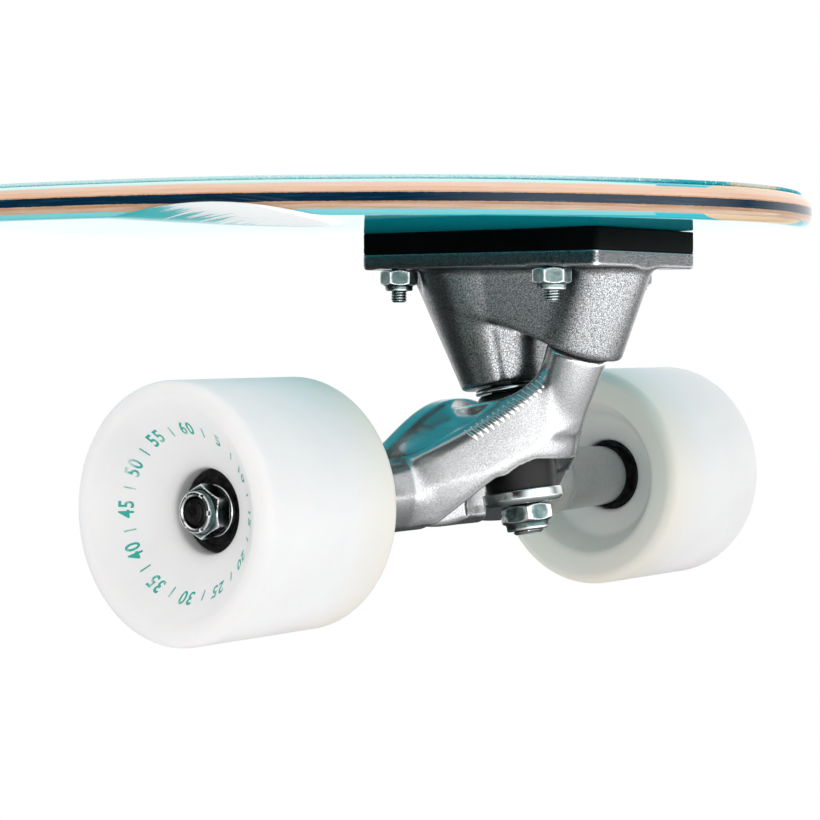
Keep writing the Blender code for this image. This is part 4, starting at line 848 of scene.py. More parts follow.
SEATS = [
    (0, 2.5), (17.4, 2.5), (16.6, 8.2 - RING_TOP), (14.0, 7.4 - RING_TOP), (12.9, 3.4 - RING_TOP),
    (12.8, -RING_TOP), (7.2, -RING_TOP), (7.2, -RING_FOOT), (15.0, -RING_FOOT),
    (18.0, -LOWER_PLATE), (18.0, -65.0), (0, -65.0),
]
ARCH = [
    (-40.0, -30.0), (-16.6, -26.5), (-10.2, -10.6), (7.4, 3.6), (9.9, 5.4), (16.5, 5.4),
    (17.9, 8.0), (20.7, 10.1), (30.0, 10.1), (30.0, -30.0),
]
RIB_PITCH, RIB_HALF, RIB_HEIGHT, RIB_LENGTH, RIB_ROW, RIB_DROP = 1.7, 0.60, 0.30, 3.7, (-0.6, 36.0), 0.1
RIM_START, RIM_END, RIB_RISE = np.array([42.2, 4.0, 40.0]), np.array([19.4, 25.0, 16.8]), (0.66, 0.75, 0.0)
RIM_FALL, RIM_ROUNDING = [0.0, 0.6, 2.3], [1.3, 0.9, 0.0]


def body_front(y):
    """How far forward the front wall stands at y: a power curve back from the nose."""
    bow = BOW_NOSE - (BOW_NOSE - BOW_SHOULDER_FORWARD) * (abs(y) / BOW_SHOULDER) ** BOW_CURVE
    return max(bow, BEAM_RADIUS * 0.75)


def rim_height(y):
    """Height of the front rim at y: a curve through its top, its middle and its shoulder, and then a straight
    line down the arm."""
    share = abs(y) / BOW_SHOULDER
    if share > 1:
        fall = (RIM_SHOULDER - ARM_CREST) * (abs(y) - BOW_SHOULDER)
        return RIM_SHOULDER - fall / (BODY_SPAN - BOW_SHOULDER)
    sag = 4 * (RIM_MIDDLE - (RIM_TOP + RIM_SHOULDER) / 2)
    return min(RIM_TOP + (RIM_SHOULDER - RIM_TOP) * share + sag * share * (1 - share), RIM_CAP)


def hanger_section(y):
    """The casting cut across at y: back of the beam, back wall, pan, front rim, front wall and foot."""
    share = min(abs(y) / BODY_SPAN, 1.0)
    crest = ARM_CREST + (BACK_WALL_HEIGHT - ARM_CREST) * math.cos(share * math.pi / 2) ** 1.4
    front, rim = body_front(y), rim_height(y)
    pan = min(crest, rim) - PAN_DEPTH * (1 - share)
    foot = FOOT_NOSE + (FOOT_ARM - FOOT_NOSE) * min(1.0, abs(y) / (BOW_SHOULDER * 0.6))
    tuck = BOW_TUCK * (1 - 0.75 * min(1.0, abs(y) / BOW_SHOULDER))
    half = BACK_WALL_TOP / 2 * (1 - 0.4 * share)
    inner = max(front - RIM_WIDTH, half + 1.6)
    dip = inner - half
    return np.array(
        [
            (-BEAM_RADIUS * 0.75, FOOT_ARM * 0.8),
            (-BEAM_RADIUS * 0.85, 0.0),
            (-half * 1.3, crest - 2.4),
            (-half * 0.7, crest - 0.3),
            (half * 0.6, crest),
            (half, crest - 0.8),
            (half + dip * 0.3, pan),
            (half + dip * 0.75, pan),
            (inner, rim - 0.6),
            (inner + RIM_WIDTH * 0.2, rim),
            (front - RIM_WIDTH * 0.2, rim - 0.6),
            (front, rim - RIM_WIDTH * 0.5),
            (front, foot + (rim - foot) * 0.5),
            (front - tuck * 0.35, foot + (rim - foot) * 0.3),
            (front - tuck, foot),
            (min(front - tuck, BEAM_RADIUS) * 0.5, foot + (FOOT_ARM - foot) * 0.9),
        ]
    )


def hanger_field():
    """The casting as a distance field: its sections side by side, the turned beam and the neck, joined with
    fillets, then the cavity round the bushings, the arches and the axle's bore cut from it."""
    (xs, ys, zs), (x, y, z) = half_space(*HANGER_SPACE)
    field = np.full((len(xs), len(ys), len(zs)), EMPTY, np.float32)
    for j, at in enumerate(ys):
        if at > BODY_SPAN + 4:
            break
        flat = polygon_distance(xs[:, None], zs[None, :], hanger_section(min(float(at), BODY_SPAN)))
        field[:, j] = np.maximum(flat, at - BODY_SPAN)
    taper = np.clip((HANGER_HALF - y) / (HANGER_HALF - BEAM_SPAN), 0, 1)
    arm = ARM_END_RADIUS + (BEAM_RADIUS - ARM_END_RADIUS) * taper
    over = np.clip(y - HANGER_HALF + ARM_END_EASE, 0, ARM_END_EASE)
    arm = arm - ARM_END_EASE + np.sqrt(np.maximum(ARM_END_EASE**2 - over**2, 0))
    beam = np.maximum(np.hypot(x, z) - arm, y - HANGER_HALF)
    beam = np.minimum(beam, np.maximum(np.hypot(x, z) - ARM_NOSE_RADIUS, y - ARM_NOSE))
    field = joined(field, beam, BEAM_FILLET)
    neck_r, neck_h, _ = pin_place(x, y, z, PIVOT_LEAN, NECK)
    neck_radius = NECK_RADIUS + NECK_TAPER * np.minimum(neck_h, 0)
    cone = np.maximum(neck_r - neck_radius, np.maximum(neck_h, -NECK_DEPTH - neck_h))
    field = joined(field, cone, NECK_FILLET)
    pin = np.hypot(neck_r, np.maximum(neck_h - PIVOT_ROUND, 0)) - PIVOT_RADIUS
    field = np.minimum(field, np.maximum(pin, -4.0 - neck_h))
    pin_r, pin_h, _ = pin_place(x, y, z, KINGPIN_LEAN, SEAT)
    collar = np.maximum(pin_h + COLLAR_DROP, -RING_TOP - 2 - pin_h)
    collar = np.maximum(np.abs(pin_r - COLLAR_RADIUS) - COLLAR_WALL, collar)
    field = joined(field, collar, COLLAR_FILLET)
    near = (slice(0, 110), slice(0, 50), slice(0, 110))
    pin_h = np.broadcast_to(pin_h, pin_r.shape)
    cavity = polygon_distance(pin_r[near], pin_h[near], np.array(SEATS))
    field[near] = taken(field[near], cavity, RING_EASE)
    facing = math.atan2(BOW_SHOULDER, BOW_NOSE - BOW_SHOULDER_FORWARD)
    along = x * math.cos(facing) - y * math.sin(facing)
    depth = x * math.sin(facing) + y * math.cos(facing)
    opening = np.maximum(polygon_distance(along, z, np.array(ARCH)), ARCH_DEPTH - depth)
    field = taken(field, opening, ARCH_EASE)
    field, ys = both_halves(field, ys)
    field = tumbled(field, 2)
    field = np.maximum(field, AXLE_BORE - np.hypot(x, z))
    field = np.maximum(field, np.abs(ys[None, :, None]) - ARM_NOSE)
    return field, (xs[0], ys[0], zs[0])


def rim_ribs():
    """Short ribs down the front wall from its rim: ellipses across, carried down the wall square to the rim's
    chord, each fading to nothing at its ends as the root of one less a square."""
    chord = (RIM_END - RIM_START) / np.linalg.norm(RIM_END - RIM_START)
    down = chord[2] * chord - (0, 0, 1)
    down = down / np.linalg.norm(down)
    sides = np.linspace(0, BODY_SPAN, 93)
    rims = [rim_height(float(y)) for y in sides]
    fronts = [body_front(float(y)) for y in sides]
    share = np.linspace(-0.98, 0.98, 11)[:, None]
    fade = np.sqrt(1 - share**2)
    turn = np.linspace(0, 2 * math.pi, 10, endpoint=False)[None, :]
    points, faces = [], []
    for place in np.arange(*RIB_ROW, RIB_PITCH):
        along = (place + RIB_HALF * fade * np.cos(turn))[..., None]
        fall = RIB_DROP + RIB_LENGTH / 2 * (1 + share)[..., None]
        bar = RIM_START + along * chord + fall * down
        under = np.interp(bar[..., 1], sides, rims) - bar[..., 2]
        bar[..., 0] = np.interp(bar[..., 1], sides, fronts) - np.interp(under, RIM_FALL, RIM_ROUNDING)
        bar = bar + (RIB_HEIGHT * fade * np.sin(turn))[..., None] * RIB_RISE
        for mirror in (1, -1):
            rib, rib_faces = wrapped(bar * (1, mirror, 1))
            faces += [[v + len(points) for v in face] for face in rib_faces]
            points += rib.tolist()
    return np.array(points), faces


SATIN_CAST = cast_finish(
    "satin_cast_aluminium",
    dark=(0.36, 0.365, 0.37),
    light=(0.64, 0.645, 0.65),
    bright=(0.95, 0.95, 0.95),
    grain=3400.0,
    rough=0.22,
    depth=0.00005,
    edge=(0.04, 0.12),
    metal=0.86,
)
points, faces = skin_of(*hanger_field())
rib_points, rib_faces = rim_ribs()
for end in TRUCKS:
    hanger = cast_piece(f"{end}_hanger_casting", points, faces, SATIN_CAST, end, keep=0.5)
    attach(hanger, f"{end}_steering")
    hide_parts(f"{end}_hanger")
    ribs = shaped(f"{end}_rim_ribs", in_truck(rib_points, end), rib_faces, SATIN_CAST)
    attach(ribs, f"{end}_steering")


# Mounting bolts and lock nuts
# Countersunk steel bolts with a cross recess through deck, pad and plate, each drawn up by a plated hexagon
# nut with a plain collar.
NUT_TOP = PLATE_HEIGHT + POCKET_DEPTH - SEAT_GAP
DECK_TOP = DECK_UNDERSIDE + DECK_THICKNESS
NUT_FLATS, NUT_HEIGHT, NUT_COLLAR, NUT_TURN = 9.5, 4.4, 1.6, 12
BOLT_RADIUS, BOLT_PITCH, BOLT_DEPTH, BOLT_STANDOUT = 2.4, 0.79, 0.42, 3.3
RECESS_HALF, RECESS_REACH, RECESS_DEPTH = 0.55, 2.5, 1.5
# Plated steel: its dark, teal-tinted greys are painted shade and a painted teal reflection of the deck, and
# its pale rubbed edges are partly a painted highlight.
ZINC = clouded_finish(
    "bright_zinc",
    {"scale": 260.0, "detail": 4.0, "distortion": 0.6},
    [(0.3, (0.05, 0.09, 0.09)), (0.5, (0.13, 0.19, 0.19)), (0.7, (0.30, 0.37, 0.36))],
    (0.12, 0.26),
    (0.1, 0.0001),
    fine=(2600.0, 2.0),
    edge=(0.01, 0.10, (0.92, 0.94, 0.94)),
    Metallic=1.0,
)


def threaded(radius, pitch, foot, top, depth, count=48):
    """Rings of a screw thread: at each height and angle the radius falls by a triangle wave of the height
    over the pitch less the turn, and by a cone at its foot."""
    levels = np.linspace(foot, top, max(2, int(round((top - foot) / pitch * 8)) + 1))[:, None]
    turn = np.linspace(0, 2 * math.pi, count, endpoint=False)[None, :]
    wave = np.abs(((levels / pitch - turn / (2 * math.pi)) % 1.0) * 2 - 1)
    reach = np.minimum(radius - depth * wave, radius - depth - 0.3 + (levels - foot) * 1.2)
    return np.stack([reach * np.cos(turn), reach * np.sin(turn), levels + 0 * turn], -1)


def hexagon_nut(flats, height, collar, bore, collar_share=0.84, count=96, notches=0):
    """Rings of a nut that stands on Z = 0: at each height and angle the radius is the lesser of the hexagon's
    and the chamfer cone's, then the round collar, over its rim and down the bore."""
    turn = np.linspace(0, 2 * math.pi, count, endpoint=False)
    across = flats / 2
    hexagon = across / np.cos((turn + math.pi / 6) % (math.pi / 3) - math.pi / 6)
    below = (0, 0.12, 0.25, 0.4, 0.6, 0.8)
    above = (0.8, 0.6, 0.4, 0.25, 0.1)
    rings = []
    for level in (*below, height / 2, *(height - drop for drop in above)):
        cone = across * 0.95 + 1.73 * min(level, height - level)
        rings.append((np.minimum(hexagon, cone), level))
    rings.append((np.full(count, across * 0.95), height))
    side = across * collar_share
    notch = 0.5 + 0.5 * np.cos(turn * max(notches, 1))
    notch = (notch > 0.86) * (0.55 if notches else 0.0)
    shoulder = ((1.0, 0.3), (1.0, 0.75), (0.985, 0.9), (0.95, 0.98), (0.88, 1.0))
    for radius, rise in ((side + 0.25, 0.06), *((side * share, rise) for share, rise in shoulder)):
        rings.append((np.full(count, radius), height + collar * rise - notch * (rise > 0.7)))
    top = height + collar
    for radius, level in ((bore + 0.35, top), (bore, top - 0.35), (bore, 0.35), (bore + 0.35, 0)):
        rings.append((np.full(count, radius), level))
    c, s = np.cos(turn), np.sin(turn)
    return np.array([np.stack([r * c, r * s, np.zeros(count) + h], -1) for r, h in rings])


def spun(rings, degrees):
    """Rings turned about Z."""
    c, s = math.cos(math.radians(degrees)), math.sin(math.radians(degrees))
    return rings @ np.array([[c, s, 0], [-s, c, 0], [0, 0, 1]])


def bolt_head():
    """A countersunk head, and its face sunk wherever it is near one of the two lines of the cross."""
    head = [
        (BOLT_RADIUS, NUT_TOP + 2.4),
        (BOLT_RADIUS, DECK_TOP - 3.2),
        (4.45, DECK_TOP - 0.35),
        (4.6, DECK_TOP - 0.1),
        (4.4, DECK_TOP),
    ]
    face = turned([(r, DECK_TOP) for r in np.linspace(4.2, 0.05, 12)], 48)
    aside, ahead = np.abs(face[..., 0]), np.abs(face[..., 1])
    recess = np.clip((RECESS_HALF - np.minimum(aside, ahead)) / 0.25, 0, 1)
    recess = recess * np.clip((RECESS_REACH - np.hypot(aside, ahead)) / 0.3, 0, 1)
    face[..., 2] -= RECESS_DEPTH * recess
    return np.concatenate([turned(head, 48), face])


bolt_foot = NUT_TOP - NUT_HEIGHT - NUT_COLLAR - BOLT_STANDOUT
bolt_thread = threaded(BOLT_RADIUS, BOLT_PITCH, bolt_foot, NUT_TOP + 2.0, BOLT_DEPTH)
bolt_rings = np.concatenate([bolt_thread, bolt_head()])
nut_rings = hexagon_nut(NUT_FLATS, NUT_HEIGHT, NUT_COLLAR, BOLT_HOLE) * (1, -1, -1) + (0, 0, NUT_TOP)
nut_rings = spun(nut_rings, NUT_TURN)
for end in TRUCKS:
    for row, along in zip(("outer", "inner"), BOLTS_ALONG):
        for side, across in (("a", -BOLTS_ACROSS), ("b", BOLTS_ACROSS)):
            place = (along, across, 0)
            bolt = truck_piece(f"{end}_bolt_{row}_{side}_thread", bolt_rings + place, end, ZINC)
            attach(bolt, "board")
            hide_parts(f"{end}_bolt_{row}_{side}")
            nut = truck_piece(f"{end}_nut_{row}_{side}", nut_rings + place, end, ZINC, loop=True)
            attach(nut, "board")
            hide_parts(f"{end}_lock_nut_{row}_{side}")


# Kingpin and its stack
# A steel kingpin hangs from the plate. On it: a washer, a bushing, the hanger's ring, a bushing, a cupped
# washer and the nut that sets the steering. A urethane cup in the plate's socket takes the hanger's pivot.
PIN_RADIUS, PIN_PITCH, PIN_THREAD = 4.75, 1.4, 0.75
PIN_NUT_FLATS, PIN_NUT_HEIGHT, PIN_NUT_COLLAR, PIN_NUT_SEAT, PIN_NUT_TURN = 14.3, 5.0, 2.2, 35.3, 20
UPPER_WASHER = [(PIN_BORE, -0.3), (8.4, -0.3), (9.4, -0.9), (9.4, -1.9), (PIN_BORE, -1.9)]
UPPER_BUSHING = [(PIN_BORE, -2.2), (8.4, -2.2), (10.1, -5.6), (10.1, -9.4), (9.2, -12.1), (PIN_BORE, -12.1)]
LOWER_BUSHING = [
    (PIN_BORE, -19.7), (11.3, -19.7), (11.2, -21.0), (10.1, -32.0), (9.6, -32.9), (PIN_BORE, -32.9),
]
LOWER_WASHER = [
    (PIN_BORE, -33.2), (10.6, -33.2), (10.6, -31.0), (11.8, -31.0), (11.8, -33.9), (10.7, -35.0),
    (PIN_BORE, -35.0),
]
PIVOT_CUP = [(6.3, 0.3), (9.5, 0.3), (9.5, 1.3), (8.5, 1.3), (8.5, 14.3), (7.5, 15.3), (0.05, 15.3)]
PIVOT_CUP_INSIDE = [(0.05, 13.3), (4.0, 12.0), (6.3, 7.0)]
# Black urethane, its greys darker than the urethane's own, so that they also paint the shade inside the
# hanger's arches.
BLACK_SOFT = clouded_finish(
    "black_urethane_smooth",
    {"scale": 220.0, "detail": 3.0},
    [(0.3, grey(0.002)), (0.7, grey(0.006))],
    (0.3, 0.42),
    (0.05, 0.0004),
    Specular_IOR_Level=0.3,
)


def leaned(points, degrees, base):
    """Points turned about Y, as a pin leans, and moved so that its foot is at base."""
    points = np.asarray(points, float)
    c, s = math.cos(math.radians(degrees)), math.sin(math.radians(degrees))
    x, y, z = points[..., 0], points[..., 1], points[..., 2]
    return np.stack([x * c + z * s, y, -x * s + z * c], -1) + np.asarray(base, float)


def eased(profile, size, closed=False, parts=4):
    """A profile whose corners are rounded: each is replaced by a short curve that starts and ends a little
    way along its two edges, at most size, and less than half of the edge."""
    points = np.asarray(profile, float)
    made = []
    count = len(points)
    for i, corner in enumerate(points):
        if not closed and i in (0, count - 1):
            made.append(corner)
            continue
        before, after = points[i - 1], points[(i + 1) % count]
        one, two = before - corner, after - corner
        reach = min(size, 0.45 * np.linalg.norm(one), 0.45 * np.linalg.norm(two))
        one = corner + one / np.linalg.norm(one) * reach
        two = corner + two / np.linalg.norm(two) * reach
        t = np.linspace(0, 1, parts)[:, None]
        made.extend((1 - t) ** 2 * one + 2 * t * (1 - t) * corner + t**2 * two)
    return np.array(made)


pin_shank = [(PIN_RADIUS, -29.5), (PIN_RADIUS, 29.5), (7.1, 29.6), (7.1, 35.4), (6.4, 36.0)]
pin_rings = np.concatenate([
    threaded(PIN_RADIUS, PIN_PITCH, -43.6, -30.0, PIN_THREAD, 64),
    turned(pin_shank, 64),
])
pin_nut = hexagon_nut(PIN_NUT_FLATS, PIN_NUT_HEIGHT, PIN_NUT_COLLAR, PIN_BORE, 0.86)
pin_nut = spun(pin_nut, PIN_NUT_TURN) * (1, -1, -1) - (0, 0, PIN_NUT_SEAT)
stack = [("kingpin_rod", "kingpin", pin_rings, False, ZINC, "zinc_steel")]
for name, stands_for, profile, easing, finish, slot in (
    ("upper_cup_washer", "upper_washer", UPPER_WASHER, 0.35, ZINC, "zinc_steel"),
    ("upper_urethane", "upper_bushing", UPPER_BUSHING, 1.2, BLACK_SOFT, "black_urethane"),
    ("lower_urethane", "lower_bushing", LOWER_BUSHING, 0.9, BLACK_SOFT, "black_urethane"),
    ("lower_cup_washer", "lower_washer", LOWER_WASHER, 0.55, ZINC, "zinc_steel"),
):
    stack.append((name, stands_for, turned(eased(profile, easing, True), 96), True, finish, slot))
stack.append(("kingpin_hexagon", "kingpin_nut", pin_nut, True, ZINC, "zinc_steel"))
cup_rings = turned(np.concatenate([eased(PIVOT_CUP, 0.3), PIVOT_CUP_INSIDE]), 64)
for end in TRUCKS:
    for name, stands_for, rings, loop, finish, slot in stack:
        made = truck_piece(f"{end}_{name}", leaned(rings, KINGPIN_LEAN, SEAT), end, finish, loop)
        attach(made, "board")
        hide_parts(f"{end}_{stands_for}")
    cup = truck_piece(f"{end}_pivot_bushing", leaned(cup_rings, PIVOT_LEAN, NECK), end, BLACK_SOFT, loop=True)
    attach(cup, "board")
    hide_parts(f"{end}_pivot_cup")


# Axles
# An 8 mm steel axle pressed through each hanger, blackened, threaded at its ends, with a thin washer
# against each inner bearing.
AXLE_RADIUS, AXLE_PITCH, AXLE_THREAD, AXLE_SHANK = 3.97, 1.0, 0.5, 104.5
WASHER_RADIUS, WASHER_INNER, WASHER_OUTER = 6.6, 82.4, 83.5
AXLE_END = [(3.1, 111.5), (2.9, 112.0), (1.8, 112.0), (1.6, 111.5), (0.9, 111.3), (0.7, 110.9), (0.05, 110.8)]
BLACK_STEEL = clouded_finish(
    "blackened_steel",
    {"scale": 500.0, "detail": 4.0},
    [(0.35, grey(0.012)), (0.7, grey(0.05))],
    (0.28, 0.45),
    (0.15, 0.0001),
    Metallic=0.7,
)


def sideways(rings, side):
    """Rings about Z laid along Y, with their top away from the board's middle."""
    x, y, z = rings[..., 0], rings[..., 1], rings[..., 2]
    return np.stack([x, side * z, -side * y], -1)


axle_shank = [
    (AXLE_RADIUS, 0.0),
    (AXLE_RADIUS, WASHER_INNER),
    (WASHER_RADIUS, WASHER_INNER + 0.12),
    (WASHER_RADIUS, WASHER_OUTER - 0.1),
    (AXLE_RADIUS, WASHER_OUTER),
    (AXLE_RADIUS, AXLE_SHANK),
]
half_axle = np.concatenate([
    turned(axle_shank, 48),
    threaded(AXLE_RADIUS, AXLE_PITCH, -111.0, -AXLE_SHANK - 0.3, AXLE_THREAD)[::-1] * (1, -1, -1),
    turned(AXLE_END, 48),
])
other_half = (half_axle * (1, -1, -1))[::-1]
axle_rings = np.concatenate([sideways(other_half, 1), sideways(half_axle, 1)])
for end in TRUCKS:
    axle = truck_piece(f"{end}_axle_rod", axle_rings, end, BLACK_STEEL)
    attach(axle, f"{end}_steering")
    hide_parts(f"{end}_axle")


# Wheels
# Cast white urethane, 69 mm across and 53 mm wide, with rounded lips, a coned outer face and a bearing seat
# on each side of its core. A plain dial of numbers and strokes is printed in teal round the outer face.
WHEEL_RADIUS, WHEEL_HALF, WHEEL_CENTRE, LIP_RADIUS, SEAT_RADIUS = 34.5, 26.5, 94.9, 3.4, 11.25
MOUTH = [(SEAT_RADIUS, 9.6), (11.3, 11.6), (13.2, 13.2), (17.2, 15.7), (21.8, 19.0), (28.6, 25.42)]
BOWL = [
    (31.0, -26.3), (25.6, -25.4), (24.3, -24.6), (19.6, -16.4), (13.4, -13.4), (11.3, -12.2),
    (SEAT_RADIUS, -9.6),
]
CORE_RADIUS, CORE_OUTER, CORE_INNER = 8.1, 0.8, -3.8
WARM_LIT_WHITE, WARM_LIGHT_REACH = (0.88, 0.83, 0.75), (0.069, 0.088)
INK_TEAL, INK_WORN = (0.015, 0.40, 0.32), (0.80, 0.84, 0.83)
DIAL_RADIUS, DIAL_MARKS, DIAL_TOP, NUMBER_SIZE, STROKE_SIZE = 21.8, 24, 60, 4.4, 2.6
INK_THICKNESS, INK_LIFT, INK_SPREAD, NUMBER_SPACING = 0.02, 0.012, 0.09, 1.15
WHEEL_SIDES = [
    (end, side, "right" if (side < 0) == (end == "front") else "left") for end in TRUCKS for side in (-1, 1)
]


def wheel_finish():
    """Matte white urethane, with a painted warm light towards its inner side."""
    made, tree, shader = finish_of("white_urethane_cast")
    cloud = clouds(tree, 45.0, 5.0, 0.55)
    white = steps_of(tree, cloud, [(0.3, (0.85, 0.84, 0.84)), (0.7, (0.89, 0.88, 0.88))])
    # Towards its inner side the white goes warmer: a painted warm light.
    aside = worked(tree, "ABSOLUTE", apart(tree, place_of(tree))[1])
    wire(
        tree,
        shader,
        Base_Color=mixed(tree, spread(tree, aside, *WARM_LIGHT_REACH, 1.0, 0.0), white, WARM_LIT_WHITE),
        Roughness=spread(tree, cloud, 0.3, 0.7, 0.42, 0.52),
        Normal=bumped(tree, clouds(tree, 900.0, 3.0), 0.08, 0.0001),
        Subsurface_Weight=0.12,
        Subsurface_Scale=0.002,
    )
    return made


def ink_finish():
    """Thin teal print, worn through in patches by a threshold on noise."""
    made, tree, shader = finish_of("teal_print")
    wear = clouds(tree, 140.0, 5.0, 0.7)
    colour = mixed(tree, spread(tree, wear, 0.52, 0.68, 0.0, 0.85), INK_TEAL, INK_WORN)
    wire(tree, shader, Base_Color=colour, Roughness=0.5, Normal=bumped(tree, wear, 0.1, 0.0001))
    return made


def lip_curve(start, end, count=12):
    """The round lip of the tyre, an arc between two angles from the wheel's axis."""
    turn = np.radians(np.linspace(start, end, count))
    radius = WHEEL_RADIUS - LIP_RADIUS + LIP_RADIUS * np.sin(turn)
    return np.stack([radius, WHEEL_HALF - LIP_RADIUS + LIP_RADIUS * np.cos(turn)], 1)


def printed_dial(face):
    """A plain dial printed round the outer face: flat figures whose height becomes radius and whose width
    becomes turn, laid a hair above the face's profile."""
    points, faces = [], []
    for k in range(DIAL_MARKS):
        is_number = k % 2 == 0
        mark = bpy.data.curves.new("mark", "FONT")
        mark.body = str((k or DIAL_MARKS) * DIAL_TOP // DIAL_MARKS) if is_number else "|"
        mark.size = NUMBER_SIZE if is_number else STROKE_SIZE
        mark.align_x = "CENTER"
        mark.align_y = "CENTER"
        mark.resolution_u = 3
        mark.extrude = INK_THICKNESS
        mark.offset = INK_SPREAD
        mark.space_character = NUMBER_SPACING
        holder = bpy.data.objects.new("mark", mark)
        mesh = bpy.data.meshes.new_from_object(holder)
        flat = read_points(mesh)
        faces += [[i + len(points) for i in polygon.vertices] for polygon in mesh.polygons]
        radius = DIAL_RADIUS + flat[:, 1]
        turn = math.pi / 2 - k * 2 * math.pi / DIAL_MARKS - flat[:, 0] / DIAL_RADIUS
        height = np.interp(radius, face[:, 0], face[:, 1]) + flat[:, 2] + INK_LIFT
        points += np.stack([radius * np.cos(turn), radius * np.sin(turn), height], 1).tolist()
        bpy.data.objects.remove(holder)
        bpy.data.meshes.remove(mesh)
        bpy.data.curves.remove(mark)
    return np.array(points), faces


WHITE = wheel_finish()
INK = ink_finish()
mouth = eased(MOUTH, 2.0)
wheel_rings = turned(
    np.concatenate([
        [(CORE_RADIUS, CORE_OUTER), (SEAT_RADIUS, CORE_OUTER)],
        mouth,
        lip_curve(-38, 90),
        lip_curve(90, 0) * (1, -1),
        eased(BOWL, 1.4)[1:],
        [(SEAT_RADIUS, CORE_INNER), (CORE_RADIUS, CORE_INNER)],
    ]),
    192,
)
dial_points, dial_faces = printed_dial(mouth)
for end, side, hand in WHEEL_SIDES:
    hub = (0, side * WHEEL_CENTRE, 0)
    tyre = truck_piece(f"{end}_{hand}_tyre", sideways(wheel_rings, side) + hub, end, WHITE, loop=True)
    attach(tyre, f"{end}_{hand}_wheel")
    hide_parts(f"{end}_{hand}_wheel")
    place = in_truck(sideways(dial_points, side) + hub, end)
    dial = shaped(f"{end}_{hand}_printed_dial", place, dial_faces, INK)
    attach(dial, f"{end}_{hand}_wheel")


# Bearings, spacers and axle nuts
# Two shielded bearings to a wheel with a steel spacer between them, held by a washer and a crimped lock nut.
AXLE_NUT_FLATS, AXLE_NUT_HEIGHT, AXLE_NUT_COLLAR, AXLE_NUT_NOTCHES = 12.7, 5.2, 2.0, 6
BEARING = [
    (AXLE_BORE, 3.5), (6.0, 3.5), (6.2, 3.0), (9.1, 2.9), (9.3, 3.5), (11.0, 3.5), (11.0, -3.5),
    (AXLE_BORE, -3.5),
]
SPACER = [(AXLE_BORE, 2.3), (5.6, 2.3), (5.6, -2.3), (AXLE_BORE, -2.3)]
WASHER = [(AXLE_BORE, 0.0), (6.7, 0.0), (6.9, 0.2), (6.9, 0.8), (6.7, 1.0)]
RACE = clouded_finish(
    "bearing_races",
    {"scale": 700.0, "detail": 3.0},
    [(0.3, grey(0.35)), (0.7, grey(0.5))],
    (0.25, 0.25),
    (0.05, 0.0001),
    Metallic=1.0,
)
outer_bearing = turned(eased(BEARING, 0.25, True), 96)
inner_bearing = outer_bearing * (1, -1, -1)
spacer = turned(eased(SPACER, 0.3, True), 48)
axle_nut = hexagon_nut(
    AXLE_NUT_FLATS, AXLE_NUT_HEIGHT, AXLE_NUT_COLLAR, AXLE_BORE, 0.86, notches=AXLE_NUT_NOTCHES
)
axle_nut = np.concatenate([turned(WASHER, 96), axle_nut + (0, 0, WASHER[-1][1])])
HUB_PARTS = (
    ("outer_shielded", "outer_bearing", outer_bearing, 4.6, "wheel", BLACK_STEEL, "bearing_steel"),
    ("inner_shielded", "inner_bearing", inner_bearing, -7.6, "wheel", BLACK_STEEL, "bearing_steel"),
    ("core_spacer", "bearing_spacer", spacer, -1.5, "steering", RACE, "zinc_steel"),
    ("axle_lock_nut", "axle_nut", axle_nut, 8.4, "steering", ZINC, "zinc_steel"),
)
for end, side, hand in WHEEL_SIDES:
    for name, stands_for, rings, offset, body, finish, slot in HUB_PARTS:
        place = sideways(rings, side) + (0, side * (WHEEL_CENTRE + offset), 0)
        made = truck_piece(f"{end}_{hand}_{name}", place, end, finish, loop=True)
        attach(made, f"{end}_{hand}_wheel" if body == "wheel" else f"{end}_steering")
        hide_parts(f"{end}_{hand}_{stands_for}")


# Studio
# A pale floor that glows: plain white to the camera, a light from below for the board, and bright and dark
# bands of painted reflection for metal and lacquer. A world that the camera sees as plain white, which bare
# metal and lacquer mirror as a dark room with a white sweep behind the board, a panel overhead and one ahead
# of the nose. Two soft boxes.
FLOOR_LENGTH, FLOOR_WIDTH = 1.4, 1.2
NOSEWARDS, AWAY, PANEL_WAY = (0.97, -0.24, 0.0), (-0.62, 0.785, 0.0), (0.996, -0.087, 0.0)
FLOOR_MIRRORED = [(0.05, grey(0.0)), (0.33, grey(0.24)), (0.52, grey(0.28)), (0.72, grey(1.0))]
FILL = [(0.0, grey(0.78)), (0.5, grey(0.80)), (1.0, grey(0.95))]
SWEEP_LIGHT, PANEL_LIGHT, ROOM_LIGHT, FLOOR_LIGHT, FLOOR_SPILL = 1.3, 2.2, 0.035, 2.9, 0.6
CAMERA_RAY, DIFFUSE_RAY, GLOSSY_RAY = 0, 2, 3
LAMP_AIM = (0.3, 0.0, 0.05)


def along_way(tree, place, way):
    """How far a place lies along a way."""
    return node(tree, "VectorMath", {0: place, 1: way}, 1, operation="DOT_PRODUCT")


x, y = FLOOR_LENGTH / 2, FLOOR_WIDTH / 2
floor_mesh = bpy.data.meshes.new("floor")
floor_mesh.from_pydata([(-x, -y, 0), (x, -y, 0), (x, y, 0), (-x, y, 0)], [], [(0, 1, 2, 3)])
floor = bpy.data.objects.new("floor", floor_mesh)
bpy.context.scene.collection.objects.link(floor)
floor_finish, tree, shader = finish_of("pale_floor")
place = place_of(tree)
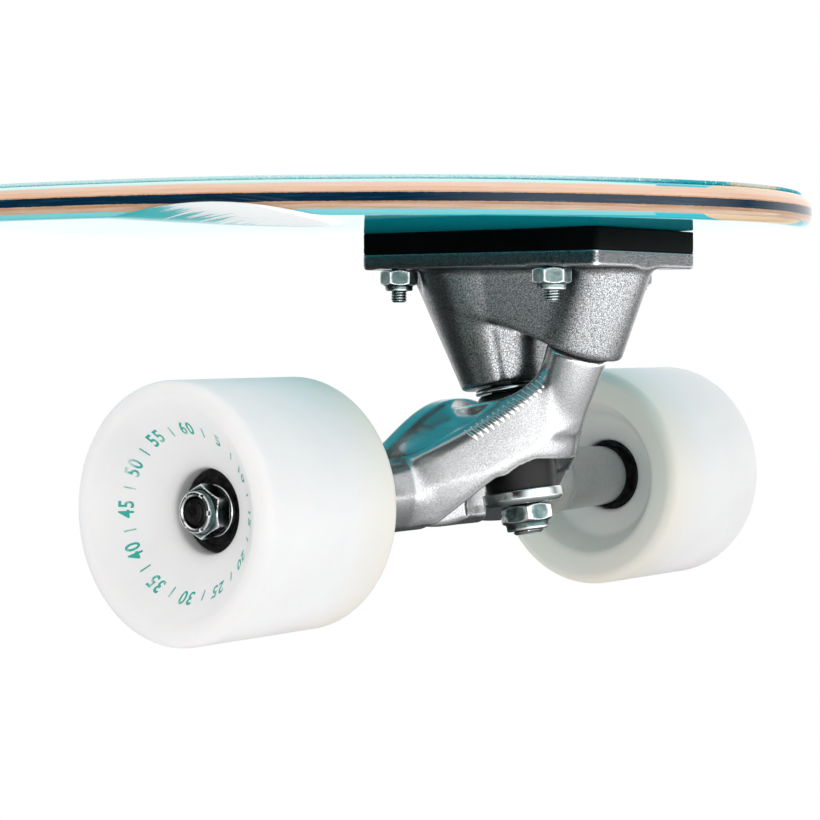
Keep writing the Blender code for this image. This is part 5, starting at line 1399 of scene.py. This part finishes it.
# The floor glows: a light from below for diffuse rays, and bright and dark bands of painted reflection for
# glossy rays.
ahead = steps_of(tree, spread(tree, along_way(tree, place, NOSEWARDS), 0.28, 0.52), FLOOR_MIRRORED)
behind = spread(tree, along_way(tree, place, AWAY), -0.08, 0.12, 0.0, 0.32, "SMOOTHSTEP")
lit = spread(tree, worked(tree, "MAXIMUM", ahead, behind), 0.0, 1.0, 0.02, FLOOR_LIGHT)
glossy = node(tree, "LightPath", out=GLOSSY_RAY)
spill = spread(tree, node(tree, "LightPath", out=DIFFUSE_RAY), 0.0, 1.0, 0.15, FLOOR_SPILL)
wire(
    tree,
    shader,
    Base_Color=mixed(tree, glossy, grey(0.6), grey(0.03)),
    Roughness=0.9,
    Emission_Color=(1, 1, 1, 1),
    Emission_Strength=node(tree, "Mix", {0: glossy, 2: spill, 3: lit}),
)
glow = tree.nodes.new("ShaderNodeEmission")
in_view = node(tree, "LightPath", out=CAMERA_RAY)
seen = node(tree, "MixShader", {0: in_view, 1: shader.outputs[0], 2: glow.outputs[0]})
tree.links.new(seen, tree.nodes["Material Output"].inputs[0])
floor_mesh.materials.append(floor_finish)

world = bpy.data.worlds.new("studio")
bpy.context.scene.world = world
world.use_nodes = True
tree = world.node_tree
direction = node(tree, "TexCoord")
height = apart(tree, direction)[2]
white = spread(tree, along_way(tree, direction, AWAY), 0.0, 0.6, 0.0, SWEEP_LIGHT, "SMOOTHSTEP")
for panel in (
    spread(tree, height, 0.55, 0.85, 0.0, 1.0, "SMOOTHSTEP"),
    spread(tree, along_way(tree, direction, PANEL_WAY), 0.45, 1.0, 0.0, PANEL_LIGHT, "SMOOTHSTEP"),
    ROOM_LIGHT,
):
    white = worked(tree, "MAXIMUM", white, panel)
mirrored = node(tree, "CombineXYZ", {0: white, 1: white, 2: white})
fill = steps_of(tree, spread(tree, height, -1.0, 1.0), FILL)
shade = mixed(tree, node(tree, "LightPath", out=GLOSSY_RAY), fill, mirrored)
background = tree.nodes["Background"]
seen = mixed(tree, node(tree, "LightPath", out=CAMERA_RAY), shade, grey(1))
tree.links.new(seen, background.inputs[0])
background.inputs[1].default_value = 1.0

for name, place, size, power in (
    ("key", (0.9, -1.0, 1.3), (1.0, 0.6), 3.0),
    ("nose", (1.5, -0.1, 0.4), (0.3, 0.9), 1.2),
):
    lamp = bpy.data.objects.new(name, bpy.data.lights.new(name, "AREA"))
    bpy.context.scene.collection.objects.link(lamp)
    lamp.data.shape = "RECTANGLE"
    lamp.data.size, lamp.data.size_y = size
    lamp.data.energy = power
    lamp.visible_glossy = False
    lamp.location = place
    lamp.rotation_euler = (Vector(LAMP_AIM) - Vector(place)).to_track_quat("-Z", "Y").to_euler()
